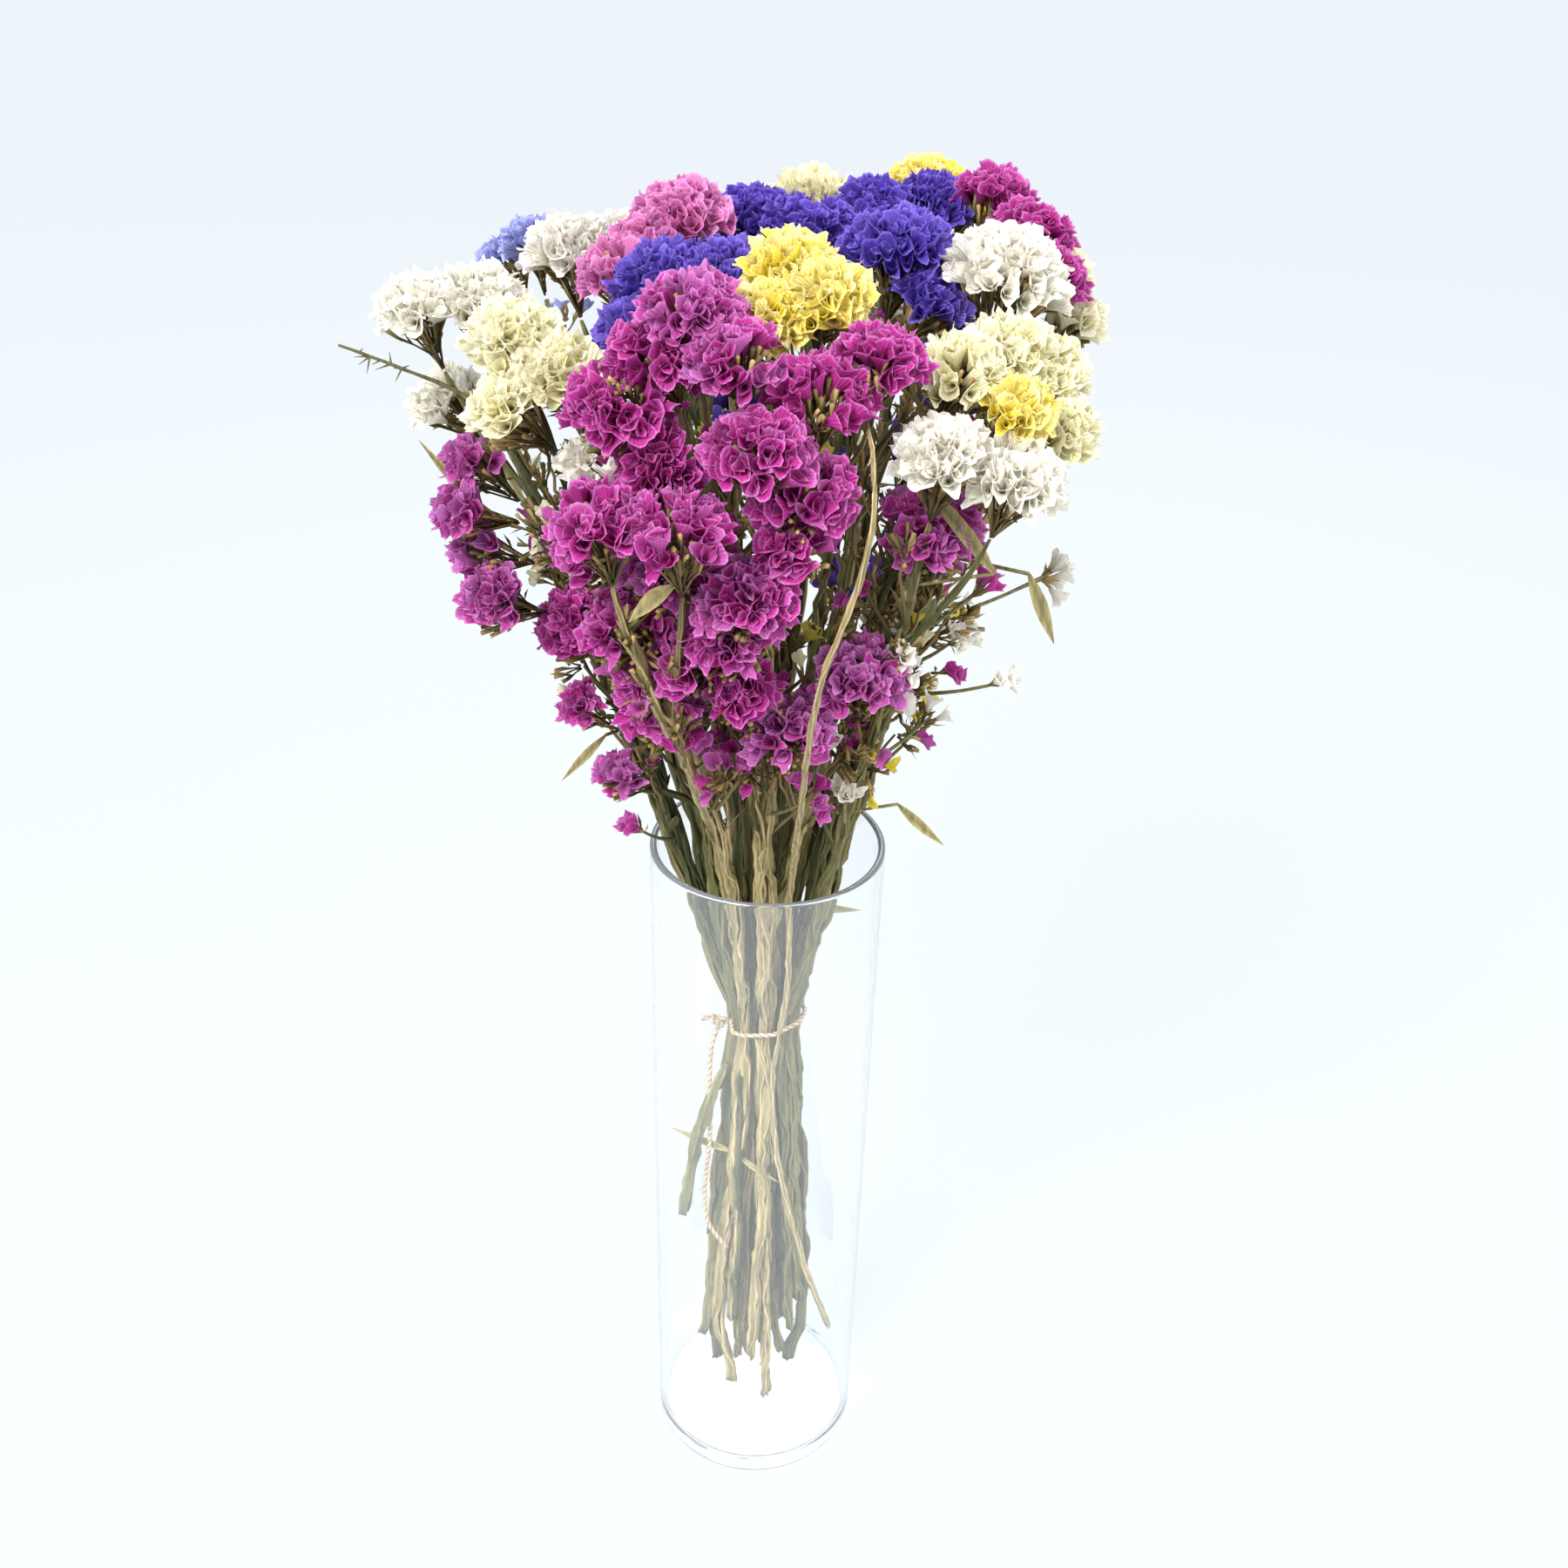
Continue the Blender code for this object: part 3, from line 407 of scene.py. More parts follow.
def blades(gather, roots, tips, faces_to, widths, chance, curl=0.12, stations=6):
    """Adds lance-shaped leaves with a folded midrib, from roots to tips. faces_to is their upper side."""
    roots, tips = np.asarray(roots, float), np.asarray(tips, float)
    count = len(roots)
    over = tips - roots
    length = np.linalg.norm(over, axis=1, keepdims=True)
    normal = unit(faces_to - unit(over) * (faces_to * unit(over)).sum(-1, keepdims=True))
    side = np.cross(unit(over), normal)
    t = np.linspace(0, 1, stations)
    wide = np.sin(np.pi * np.clip(t, 0.04, 0.985) ** 0.8)
    middle = roots[:, None] + over[:, None] * t[:, None]
    middle = middle - normal[:, None] * (length[:, None] * curl * (t ** 2)[None, :, None])
    verts = np.empty((count, stations, 3, 3))
    for k, (out, up) in enumerate(((-1, 0.35), (0, 0), (1, 0.35))):
        half = 0.5 * np.reshape(widths, (-1, 1, 1)) * wide[None, :, None]
        verts[:, :, k] = middle + side[:, None] * half * out + normal[:, None] * half * up
    tint = np.empty(verts.shape)
    tint[..., 0] = t[None, :, None]
    tint[..., 1] = np.reshape(chance, (-1, 1, 1))
    tint[..., 2] = np.array([1, 0.2, 1])
    corners = (3 * np.arange(stations - 1)[:, None] + np.arange(2)).reshape(-1, 1)
    quads = corners + [0, 1, 4, 3]
    gather.add(verts, tint, quads[None] + (np.arange(count) * stations * 3)[:, None, None])


# Lobes and florets


class Lobe:
    """One dome of a head, placed as in the part."""

    def __init__(self, stem, row):
        x, y, z, half_width, lean = row
        self.stem = stem
        self.centre = np.array([x, y, z]) * MM
        self.radius = half_width * MM
        outward = unit([x, y, 0.0])
        lean = math.radians(lean)
        self.axis = outward * math.sin(lean) + np.array([0, 0, math.cos(lean)])
        self.across = unit(np.cross([0.0, 0.0, 1.0], outward))
        self.deep = np.cross(self.axis, self.across)
        self.base = self.centre - self.axis * BASE_DROP * self.radius
        self.apex = self.base - self.axis * BRUSH_LENGTH
        self.tip = self.apex - self.axis / max(self.axis[2], 0.6) * 8 * MM
        self.turn = (x * 7 + y * 3 + z) % 10

    def directions(self):
        """Evenly spread directions over the dome, a little past its rim."""
        count = round(FLORETS_PER_MM2 * (self.radius / MM) ** 2)
        k = np.arange(count)
        up = 1 - (1 - math.cos(math.radians(DOME))) * (k + 0.5) / count
        ring = np.sqrt(1 - up ** 2)
        turn = math.pi * (3 - math.sqrt(5)) * k + self.turn
        return (
            self.across * (ring * np.cos(turn))[:, None] + self.deep * (ring * np.sin(turn))[:, None]
            + self.axis * up[:, None]
        )

    def reach(self, directions):
        sizes = np.array([self.radius, 0.92 * self.radius, 0.85 * self.radius])
        parts = np.stack([directions @ self.across, directions @ self.deep, directions @ self.axis], axis=1)
        return 1 / np.sqrt(((parts / sizes) ** 2).sum(axis=1))


def read_heads():
    """For each head node its bundle, colour and lobes."""
    heads = {}
    for stem, (bundle, colour, rows) in STEMS.items():
        for number, row in enumerate(rows, 1):
            name = f"head_{stem}" if len(rows) == 1 else f"head_{stem}_{number}"
            heads[name] = (bundle, colour, [Lobe(stem, r) for r in row])
    return heads


def tree_of(nodes):
    """A search tree over the meshes of several CAD nodes."""
    verts, faces = [], []
    for node in nodes:
        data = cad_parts[node].data
        data.calc_loop_triangles()
        start = len(verts)
        verts += [v.co for v in data.vertices]
        faces += [[start + i for i in t.vertices] for t in data.loop_triangles]
    return BVHTree.FromPolygons(verts, faces)


def funnels(gather, mouths, axes, sizes, depths, draw, sides=FLORET_SIDES, mood=0.25):
    """Adds paper florets: funnels with their mouths' middles and axes given, pressed out of round,
    pleated, and ruffled at the rim."""
    count = len(mouths)
    spread, rise, wave = np.array(FUNNEL_RINGS).T
    side = unit(np.cross(axes, draw.normal(size=(count, 3))))
    front = np.cross(axes, side)
    angle = 2 * np.pi * np.arange(sides) / sides
    first, second, third = draw.uniform(0, 2 * np.pi, (3, count, 1))
    pressed = draw.uniform(0.45, 0.95, (count, 1, 1)) ** np.linspace(0, 1, len(spread))[None, :, None]
    folds = np.cos(FOLDS * angle[None] + first)
    ruffle = np.cos(round(sides / 3) * angle[None] + second)
    lean = np.cos(2 * angle[None] + third)
    shape = wave[None, :, None] * (0.55 * folds + 0.3 * ruffle + 0.4 * lean)[:, None]
    far = sizes[:, None, None] * spread[None, :, None] * (1 + shape)
    bumps = 0.6 * np.cos(FOLDS * angle[None] + first + 1.3) + 0.55 * ruffle
    high = depths[:, None, None] * (rise[None, :, None] - 1)
    high = high + sizes[:, None, None] * wave[None, :, None] * 1.15 * bumps[:, None]
    high = high - sizes[:, None, None] * wave[None, :, None] * 0.8 * lean[:, None]
    wide = far * np.cos(angle) / pressed ** 0.35
    deep = far * np.sin(angle) * pressed
    verts = mouths[:, None, None] + side[:, None, None] * wide[..., None]
    verts = verts + front[:, None, None] * deep[..., None]
    verts = verts + axes[:, None, None] * high[..., None]
    tint = np.empty(verts.shape)
    tint[..., 0] = np.linspace(0, 1, len(spread))[None, :, None]
    tint[..., 1] = mood + draw.uniform(0, 0.5, (count, 1, 1))
    tint[..., 2] = 1 - abs(angle / np.pi - 1)
    start = np.arange(count) * sides * len(spread)
    gather.add(verts, tint, skin_quads(len(spread), sides)[None] + start[:, None, None])


def calyxes(gather, roots, feet, spine, draw):
    """Adds the calyx tube under each floret, the thin branchlet that carries it, and its bracts."""
    count = len(roots)
    chance = draw.uniform(0, 1, count)
    bow = draw.normal(size=(count, 3)) * 0.6 * MM
    paths = feet[:, None] + (roots - feet)[:, None] * np.array([0, 0.5, 1.0])[:, None]
    paths[:, 1] += bow
    sizes = np.array(CALYX_RADII) * MM * draw.uniform(0.85, 1.15, (count, 1))
    tubes(gather, paths, sizes, 4, chance, ridge=np.array([1, 0.2] * 2))
    twigs = spine[:, None] + (feet - spine)[:, None] * np.array([0, 1.08])[:, None]
    tubes(gather, twigs, np.array(BRANCHLET_RADII) * MM, 3, chance * 0.6)
    for _ in range(2):
        share = draw.uniform(0, 0.5, (count, 1))
        outward = unit(unit(roots - feet) + draw.normal(size=(count, 3)) * 0.4)
        length = draw.uniform(*BRACT_LENGTHS, (count, 1)) * MM
        start = feet + (roots - feet) * share
        faces_to = draw.normal(size=(count, 3))
        blades(gather, start, start + outward * length, faces_to, BRACT_WIDTH, chance, stations=3)


def bare(colour, directions, mouths, draw):
    """Whether a floret's place has none: below the comb, and between its groups."""
    turns = draw.uniform(0, 2 * np.pi, (3, 3))
    patch = sum(np.sin(mouths @ unit(np.cos(turn)) / PATCH * 2 * np.pi + turn[0]) for turn in turns)
    below = directions[:, 2] < -0.05 + draw.normal(size=len(directions)) * 0.12
    return below | (patch > PATCHY[colour])


def head_pieces(colour, lobes, others, florets, brushes, seed):
    """Gathers a head's florets and the calyxes below them."""
    draw = np.random.default_rng(seed)
    mood = draw.uniform(0, 0.5)
    for lobe in lobes:
        directions = lobe.directions()
        reach = lobe.reach(directions) * draw.uniform(0.90, 1.06, len(directions))
        for i, direction in enumerate(directions):
            hit = others.ray_cast(Vector(lobe.centre), Vector(direction), reach[i] + 2 * MM)
            if hit[3] is not None:
                reach[i] = min(reach[i], max(0.55 * reach[i], hit[3] - 1.2 * MM))
        mouths = lobe.centre + directions * reach[:, None]
        axes = unit(directions + FLORET_LEAN * lobe.axis + draw.normal(size=directions.shape) * 0.20)
        sizes = min(FLORET_RADIUS, FLORET_SHARE * lobe.radius) * draw.uniform(0.86, 1.16, len(directions))
        depths = FLORET_DEPTH * sizes / FLORET_RADIUS * draw.uniform(0.9, 1.15, len(directions))
        shown = ~bare(colour, directions, mouths, draw)
        parts = [part[shown] for part in (mouths, axes, sizes, depths)]
        funnels(florets, *parts, draw, mood=mood)
        parts = [
            parts[0] - parts[1] * INNER_DROP * MM, parts[1], INNER_SIZE * parts[2], INNER_DEPTH * parts[3],
        ]
        funnels(florets, *parts, draw, INNER_SIDES, mood)
        roots = mouths - axes * (depths * np.where(shown, 0.96, 0.45))[:, None]
        climb = draw.uniform(0.05, 0.75, (len(roots), 1))
        spine = lobe.apex + (lobe.base - lobe.apex) * climb
        sideways = directions - lobe.axis * (directions @ lobe.axis)[:, None]
        spine = spine + sideways * lobe.radius * 0.22 * climb
        far = np.linalg.norm(roots - spine, axis=1, keepdims=True)
        feet = roots + (spine - roots) * np.minimum(0.8, CALYX_LENGTH / far)
        seen = ~shown | (directions @ lobe.axis < HIDDEN)
        calyxes(brushes, roots[seen], feet[seen], spine[seen], draw)


# Stalks, followed down through their solids


def outlines(verts, triangles, z):
    """The closed outlines of a mesh at a height: each its middle and its points."""
    high = verts[triangles][:, :, 2] > z
    crossing = triangles[(high.any(axis=1)) & (~high.all(axis=1))]
    points, links = {}, []
    for triangle in crossing:
        ends = []
        for a, b in ((0, 1), (1, 2), (2, 0)):
            i, j = sorted((int(triangle[a]), int(triangle[b])))
            if (verts[i, 2] > z) != (verts[j, 2] > z):
                share = (z - verts[i, 2]) / (verts[j, 2] - verts[i, 2])
                points[i, j] = (verts[i] + (verts[j] - verts[i]) * share)[:2]
                ends.append((i, j))
        links.append(ends)
    near = {key: [] for key in points}
    for a, b in links:
        near[a].append(b)
        near[b].append(a)
    found, seen = [], set()
    for key in points:
        if key in seen:
            continue
        group, reached = [], [key]
        seen.add(key)
        while reached:
            here = reached.pop()
            group.append(here)
            for other in near[here]:
                if other not in seen:
                    seen.add(other)
                    reached.append(other)
        spots = np.array([points[g] for g in group])
        weights = np.array([sum(np.linalg.norm(points[g] - points[o]) for o in near[g]) for g in group])
        found.append(((spots * weights[:, None]).sum(axis=0) / max(weights.sum(), 1e-12), spots))
    return found


def within(spot, outline, margin):
    """A point moved into an outline until it is a margin inside, and how far it was outside."""
    middle, points = outline
    away = spot - middle
    far = np.linalg.norm(away)
    direction = away / far if far > 1e-9 else np.array([1.0, 0.0])
    support = ((points - middle) @ direction).max()
    return middle + direction * min(far, max(0.0, support - margin)), far - support


def keep_apart(spots, stems):
    """Moves the stems' spots at one height away from each other."""
    for a, b in list(itertools.combinations(stems, 2)) * 6:
        away = spots[a] - spots[b]
        far = max(np.linalg.norm(away), 1e-6)
        short = max(0.0, APART - far) * 0.5
        spots[a] = spots[a] + away / far * short
        spots[b] = spots[b] - away / far * short


def follow(node, lobes):
    """The centre lines in one bundle, from each lobe's brush down to its stalk or to its cut end."""
    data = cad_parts[node].data
    data.calc_loop_triangles()
    raw = np.array([v.co for v in data.vertices])
    verts, index = np.unique(np.round(raw, 6), axis=0, return_inverse=True)
    triangles = index.reshape(-1)[np.array([t.vertices for t in data.loop_triangles])]
    stems = sorted({lobe.stem for lobe in lobes})
    mains = [max((l for l in lobes if l.stem == s), key=lambda l: l.apex[2]) for s in stems]
    lines = {lobe: [lobe.apex, lobe.tip] for lobe in lobes}
    ended = set()
    z = max(lobe.tip[2] for lobe in lobes)
    while z > verts[:, 2].min() + 1 * MM:
        z -= SLICE_STEP
        shapes = outlines(verts, triangles, z)
        now = {}
        for lobe in mains + [l for l in lobes if l not in mains]:
            line = lines[lobe]
            if lobe in ended or z > line[-1][2] - 2 * MM or not shapes:
                continue
            drop = line[-1][2] - z
            run = (line[-1] - line[-2])[:2] / max(line[-2][2] - line[-1][2], 1 * MM)
            far = np.linalg.norm(run)
            run = run * min(1, STEEPEST / max(far, 1e-9))
            wanted = line[-1][:2] + run * drop
            margin = STEM_MARGIN if lobe in mains and z < THIN_FROM else BRANCH_MARGIN
            best = min(shapes, key=lambda s: within(wanted, s, margin)[1])
            spot, outside = within(wanted, best, margin)
            if outside > LOST:
                ended.add(lobe)
                continue
            if lobe not in mains:
                close = [now[m] for m in mains if m in now and np.linalg.norm(now[m] - spot) < JOINED]
                if close or z < VASE_HEIGHT:
                    if close:
                        line.append(np.append(close[0], z - 2 * MM))
                    ended.add(lobe)
                    continue
            now[lobe] = spot
        keep_apart(now, [main for main in mains if main in now])
        for lobe, spot in now.items():
            lines[lobe].append(np.append(spot, z))
    return {lobe: smoothed(np.array(line)) for lobe, line in lines.items()}, mains


def smoothed(line):
    """A line with its kinks eased, its ends kept."""
    for _ in range(3):
        line[1:-1] = 0.25 * line[:-2] + 0.5 * line[1:-1] + 0.25 * line[2:]
    return line


def resampled(line, step, least=4):
    """Points along a line about a step apart, and how far along it each is."""
    lengths = np.append(0, np.cumsum(np.linalg.norm(np.diff(line, axis=0), axis=1)))
    at = np.linspace(0, lengths[-1], max(least, round(lengths[-1] / step)))
    return np.stack([np.interp(at, lengths, line[:, i]) for i in range(3)], axis=1), at


def along_line(line, heights):
    """The points of a falling line at heights."""
    return np.stack([np.interp(heights, line[::-1, 2], line[::-1, i]) for i in range(3)], axis=-1)


def arc(start, middle, end, count):
    """Points along a curve that leaves its start towards a middle point, and comes in from it."""
    t = np.linspace(0, 1, count)[:, None]
    return (1 - t) ** 2 * start + 2 * t * (1 - t) * middle + t ** 2 * end


def waves(at, draw, lengths=(61, 23, 9.5)):
    """A smooth random course along a stem, within about one of zero."""
    return sum(
        np.sin(at / (length * MM) * 2 * math.pi + draw.uniform(0, 6.3)) / (1 + i)
        for i, length in enumerate(lengths)
    ) / 1.6


def winged(gather, line, radius, chance, draw, sides=STALK_SIDES, step=RING_STEP):
    """A stalk with three or four thin wavy wings that turn slowly round it."""
    points, _ = resampled(line, step)
    at = np.arange(len(points)) * step
    wings = draw.choice((3, 3, 4)) if sides % 4 == 0 else 3
    angle = 2 * np.pi * np.arange(sides) / sides
    ridge = abs(np.cos(wings * angle / 2)) ** 5
    each = np.floor(((angle + np.pi / wings) % (2 * np.pi)) / (2 * np.pi / wings)).astype(int) % wings
    heights = [1 + 0.30 * waves(at, draw) + 0.14 * draw.normal(size=len(at)) for _ in range(wings)]
    height = np.stack(heights, axis=1)[:, each]
    squeeze = 1 - 0.28 * np.exp(-((points[:, 2] - TIE_HEIGHT) / (14 * MM)) ** 2)
    factors = (0.54 + 0.66 * ridge * height.clip(0.3, 1.6)) * squeeze[:, None]
    radii = radius * np.interp(points[:, 2], [VASE_HEIGHT, 480 * MM, 560 * MM], [1.0, 0.82, 0.6])
    radii = np.minimum(radii, radius * (0.4 + np.linspace(0, 1, len(points)) * 8))
    points = points + 0.35 * MM * np.stack([waves(at, draw), waves(at, draw), 0 * at], axis=1)
    over = points[0] - points[-1]
    aside = unit(np.cross([0, 0, 1.0], over + np.array([1e-4, 0, 0])))
    twist = 0.7 * waves(at, draw) + draw.uniform(0, 6.3)
    tubes(gather, points[None], radii[None], sides, chance, factors[None], ridge, aside[None], twist[None])


def pair(gather, line, chance, draw):
    """A stem with two thinner ones against it, which end at heights of their own."""
    winged(gather, line, STALK_RADIUS, chance, draw)
    turn = draw.uniform(0, 6.3)
    for k in range(2):
        turn += math.pi * draw.uniform(0.7, 1.3)
        end = max(line[-1, 2], draw.uniform(*BESIDE_ENDS) * MM) if k else line[-1, 2]
        top = line[0, 2] - draw.uniform(*BESIDE_TOPS) * MM
        part = line[(line[:, 2] < top) & (line[:, 2] >= end)]
        if len(part) < 6:
            continue
        around = turn + 1.2 * waves(part[:, 2], draw)
        squeeze = 1 - 0.45 * np.exp(-((part[:, 2] - TIE_HEIGHT) / (16 * MM)) ** 2)
        out = BESIDE * squeeze
        part = part + np.stack([out * np.cos(around), out * np.sin(around), 0 * out], axis=1)
        radius = draw.uniform(*BESIDE_RADII) * MM
        chance_beside = (chance + draw.uniform(-0.25, 0.25)) % 1
        winged(gather, part, radius, chance_beside, draw, BESIDE_SIDES, BESIDE_STEP)


def sprays(gather, florets, line, draw, count, box):
    """Side twigs of a stalk between the vase and its head, with small brushes and a few florets."""
    top = line[0, 2] - BELOW_HEAD
    for _ in range(count):
        start = along_line(line, draw.uniform(SPRAY_LOWEST, max(top, SPRAY_HIGHEST)))
        outward = unit([start[0], start[1] * 0.9, 0])
        turn = draw.normal() * 0.9
        out = np.array([
            outward[0] * math.cos(turn) - outward[1] * math.sin(turn),
            outward[0] * math.sin(turn) + outward[1] * math.cos(turn), 0,
        ])
        lift = draw.uniform(0.8, 1.25)
        length = draw.uniform(*SPRAY_LENGTHS) * MM
        ahead = out * math.cos(lift) + np.array([0, 0, math.sin(lift)])
        end = start + ahead * length
        if any(end < box[0] + LOW_EDGE) or any(end > box[1] - HIGH_EDGE):
            continue
        path = arc(start, start + ahead * length * 0.5 + out * 2 * MM, end, 7)
        path[1:-1] += draw.normal(size=(5, 3)) * 0.5 * MM
        tubes(gather, path[None], np.linspace(*TWIG_ENDS, 7)[None] * MM, 5, draw.uniform(0, 1))
        for k in range(draw.integers(1, 4)):
            root = path[6 - k]
            way = unit(ahead + draw.normal(size=3) * 0.45)
            number = draw.integers(3, 7)
            ways = unit(way + draw.normal(size=(number, 3)) * 0.42)
            spine = root + ways * 1.5 * MM
            feet = root + ways * draw.uniform(2, 5, (number, 1)) * MM
            ends = feet + ways * draw.uniform(6, 9, (number, 1)) * MM
            calyxes(gather, ends, feet, spine, draw)
            if draw.uniform() < FLOWERING:
                part = draw.integers(1, 4)
                sizes = draw.uniform(2.6, 4.0, part) * MM
                mouths = ends[:part] + ways[:part] * sizes[:, None] * 1.2
                funnels(florets, mouths, ways[:part], sizes, sizes * 1.6, draw)


def bracts(gather, line, chance, draw):
    """Small lance-shaped leaves along a stalk above the vase, pressed to it."""
    low, high = VASE_HEIGHT + 20 * MM, line[0, 2] - 20 * MM
    if high < low:
        return
    heights = np.arange(low, high, BRACT_STEP)
    roots = along_line(line, heights + draw.uniform(-6, 6, len(heights)) * MM)
    out = unit(draw.normal(size=roots.shape) * [1, 1, 0] + 1e-6)
    tips = roots + (out * 0.5 + [0, 0, 0.9]) * draw.uniform(7, 20, (len(roots), 1)) * MM
    blades(gather, roots + out * 1.2 * MM, tips, -out, draw.uniform(1.8, 4.2, len(roots)) * MM, chance)


def nearest(lines, point, below):
    """The place on the stalks nearest to what lies a way below a point."""
    points = np.concatenate(lines)
    return points[np.argmin(np.linalg.norm(points - (point - [0, 0, below]), axis=1))]


def thorny_twig(gather, draw):
    """The bare twig at the left with its thorns."""
    bare_twig = smooth_course(np.array(BARE_TWIG) * MM, 6)
    sizes = np.linspace(0.45, 1.3, len(bare_twig)) * MM
    rough = (1 + 0.15 * draw.normal(size=(1, len(bare_twig), 8))).clip(0.7, 1.3)
    tubes(gather, bare_twig[None], sizes[None], 8, 0.25, rough)
    roots = bare_twig[draw.integers(1, len(bare_twig) - 8, THORNS)]
    way = unit(draw.normal(size=(THORNS, 3)) + [-0.6, 0, 0.3])
    thorns = way * draw.uniform(3, 7, (THORNS, 1)) * MM
    paths = np.stack([roots, roots + thorns * 0.5, roots + thorns], axis=1)
    tubes(gather, paths, np.array([0.5, 0.3, 0.08]) * MM, 5, 0.4)


def lone_group(twigs, brushes, florets, end, lines, draw):
    """A few florets on one twig that comes off the nearest stalk."""
    start = nearest(lines, end, 26 * MM)
    path = arc(start, (start + end) / 2 + [0, 0, -4 * MM], end, 9)
    tubes(twigs, path[None], np.linspace(*TWIG_ENDS, 9)[None] * MM, 7, draw.uniform(0.2, 0.8))
    number = int(draw.integers(3, 6))
    way = unit(path[-1] - path[-3])
    ways = unit(way + draw.normal(size=(number, 3)) * 0.4)
    feet = end - way * 6 * MM + ways * 1.0 * MM
    roots = feet + ways * 6 * MM
    calyxes(brushes, roots, feet, np.repeat(path[-4][None], number, axis=0), draw)
    sizes = draw.uniform(3.4, 4.6, number) * MM
    funnels(florets, roots + ways * sizes[:, None] * 1.3, ways, sizes, sizes * 1.7, draw)
    funnels(florets, roots + ways * sizes[:, None] * 1.1, ways, sizes * 0.5, sizes, draw, INNER_SIDES)


def small_things(lines, materials):
    """The bare twig, the small groups of florets, the leaves and the stalks with no head."""
    draw = np.random.default_rng(SMALL_SEED)
    twigs, brushes = Gather(), Gather()
    thorny_twig(twigs, draw)
    lone = {}
    for colour, place in LONE_FLORETS:
        florets = lone.setdefault(colour, Gather())
        lone_group(twigs, brushes, florets, np.array(place) * MM, lines, draw)
    roots, tips, widths = (np.array(part) * MM for part in zip(*LEAVES))
    faces_to = np.array([0, -1.0, 0.5]) + draw.normal(size=roots.shape) * 0.3
    blades(twigs, roots, tips, faces_to, widths, 0.6, 0.2)
    for root in roots[LEAVES_ON_TWIGS]:
        start = nearest(lines, root, 10 * MM)
        path = start + (root - start) * np.linspace(0, 1, 6)[:, None]
        tubes(twigs, path[None], 0.7 * MM, 6, 0.6)
    for course, radius, chance in LOOSE_STALKS:
        winged(twigs, smooth_course(np.array(course) * MM), radius * MM, chance, draw)
    twigs.piece("loose_stalks_and_leaves", materials["stalk"], "stalk")
    brushes.piece("lone_calyxes", materials["calyx"], "stalk")
    for colour, florets in lone.items():
        florets.piece(f"lone_florets_{colour}", materials[colour], colour)


def bundle_pieces(bundle, heads, materials, box, seed):
    """A bundle's winged stalks, twigs, bracts and side sprays, which stand for its CAD node."""
    draw = np.random.default_rng(seed)
    own = {name: head for name, head in heads.items() if head[0] == bundle}
    lobes = [lobe for _, _, group in own.values() for lobe in group]
    colour_of = {lobe: colour for _, colour, group in own.values() for lobe in group}
    lines, mains = follow(f"stalks_{bundle}", lobes)
    stalks, brushes = Gather(), Gather()
    strays = {}
    for lobe, line in lines.items():
        chance = draw.uniform(0.55, 1.0) if bundle in STRAW else draw.uniform(0.0, 0.6)
        if lobe in mains:
            if lobe is not mains[0]:
                line = line[line[:, 2] > line[-1, 2] + draw.uniform(0, LONGEST_CUT)]
            pair(stalks, line, chance, draw)
            count = SPRAYS["right" if bundle.startswith("right") else "others"]
        else:
            winged(stalks, line, BRANCH_RADIUS, chance, draw)
            count = SPRAYS["branches"]
        bracts(stalks, line, chance, draw)
        sprays(brushes, strays.setdefault(colour_of[lobe], Gather()), line, draw, count, box)
    stalks.piece(f"stems_{bundle}", materials["stalk"], "stalk", [f"stalks_{bundle}"])
    return brushes, strays, [line for lobe, line in lines.items() if lobe in mains]


# Glass, jute and small things


def bend(r, z, radius, first, turn, steps):
    """Points of an outline round a bend with its middle at r and z, from a first angle through a turn."""
    angles = [first + turn * k / steps for k in range(steps + 1)]
    return [(r + radius * math.cos(a), z + radius * math.sin(a)) for a in angles]


def vase(material):
    """The glass cylinder, turned: a thick foot with eased corners, straight walls and a rounded rim."""
    inner, lip, quarter = VASE_RADIUS - VASE_WALL, VASE_WALL / 2, math.pi / 2
    levels = [9 * MM + VASE_FLOOR, 30 * MM, 0.5 * VASE_HEIGHT, VASE_HEIGHT - 30 * MM, VASE_HEIGHT - 5 * MM]
    outline = [(0.0, 0.9 * MM), (VASE_RADIUS - 10 * MM, 0.7 * MM), (VASE_RADIUS - 6.5 * MM, 0.0)]
    outline += bend(VASE_RADIUS - 5 * MM, 5 * MM, 5 * MM, -quarter, quarter, 8)
    outline += [(VASE_RADIUS, z) for z in [7 * MM] + levels + [VASE_HEIGHT - 2.5 * MM]]
    outline += bend(VASE_RADIUS - lip, VASE_HEIGHT - lip, lip, 0, 2 * quarter, 12)
    outline += [(inner, z) for z in [VASE_HEIGHT - 2.5 * MM] + levels[::-1]]
    outline += bend(inner - 6 * MM, VASE_FLOOR + 6 * MM, 6 * MM, 0, -quarter, 8)
    outline += [(inner - 20 * MM, VASE_FLOOR - 0.3 * MM), (0.0, VASE_FLOOR - 0.5 * MM)]
    data = bpy.data.meshes.new("glass_vase")
    turns = [2 * math.pi * k / VASE_SIDES for k in range(VASE_SIDES)]
    verts = [(r * math.cos(turn), r * math.sin(turn), z) for r, z in outline[1:-1] for turn in turns]
    top = len(verts) - VASE_SIDES
    faces = skin_quads(len(outline) - 2, VASE_SIDES).tolist()
    verts += [(0, 0, outline[0][1]), (0, 0, outline[-1][1])]
    for k, j in zip(*round_ring(VASE_SIDES)):
        faces += [(len(verts) - 2, j, k), (len(verts) - 1, top + k, top + j)]
    data.from_pydata(verts, [], faces)
    data.shade_smooth()
    data.materials.append(material)
    return dress("glass_vase", data, ["vase"])


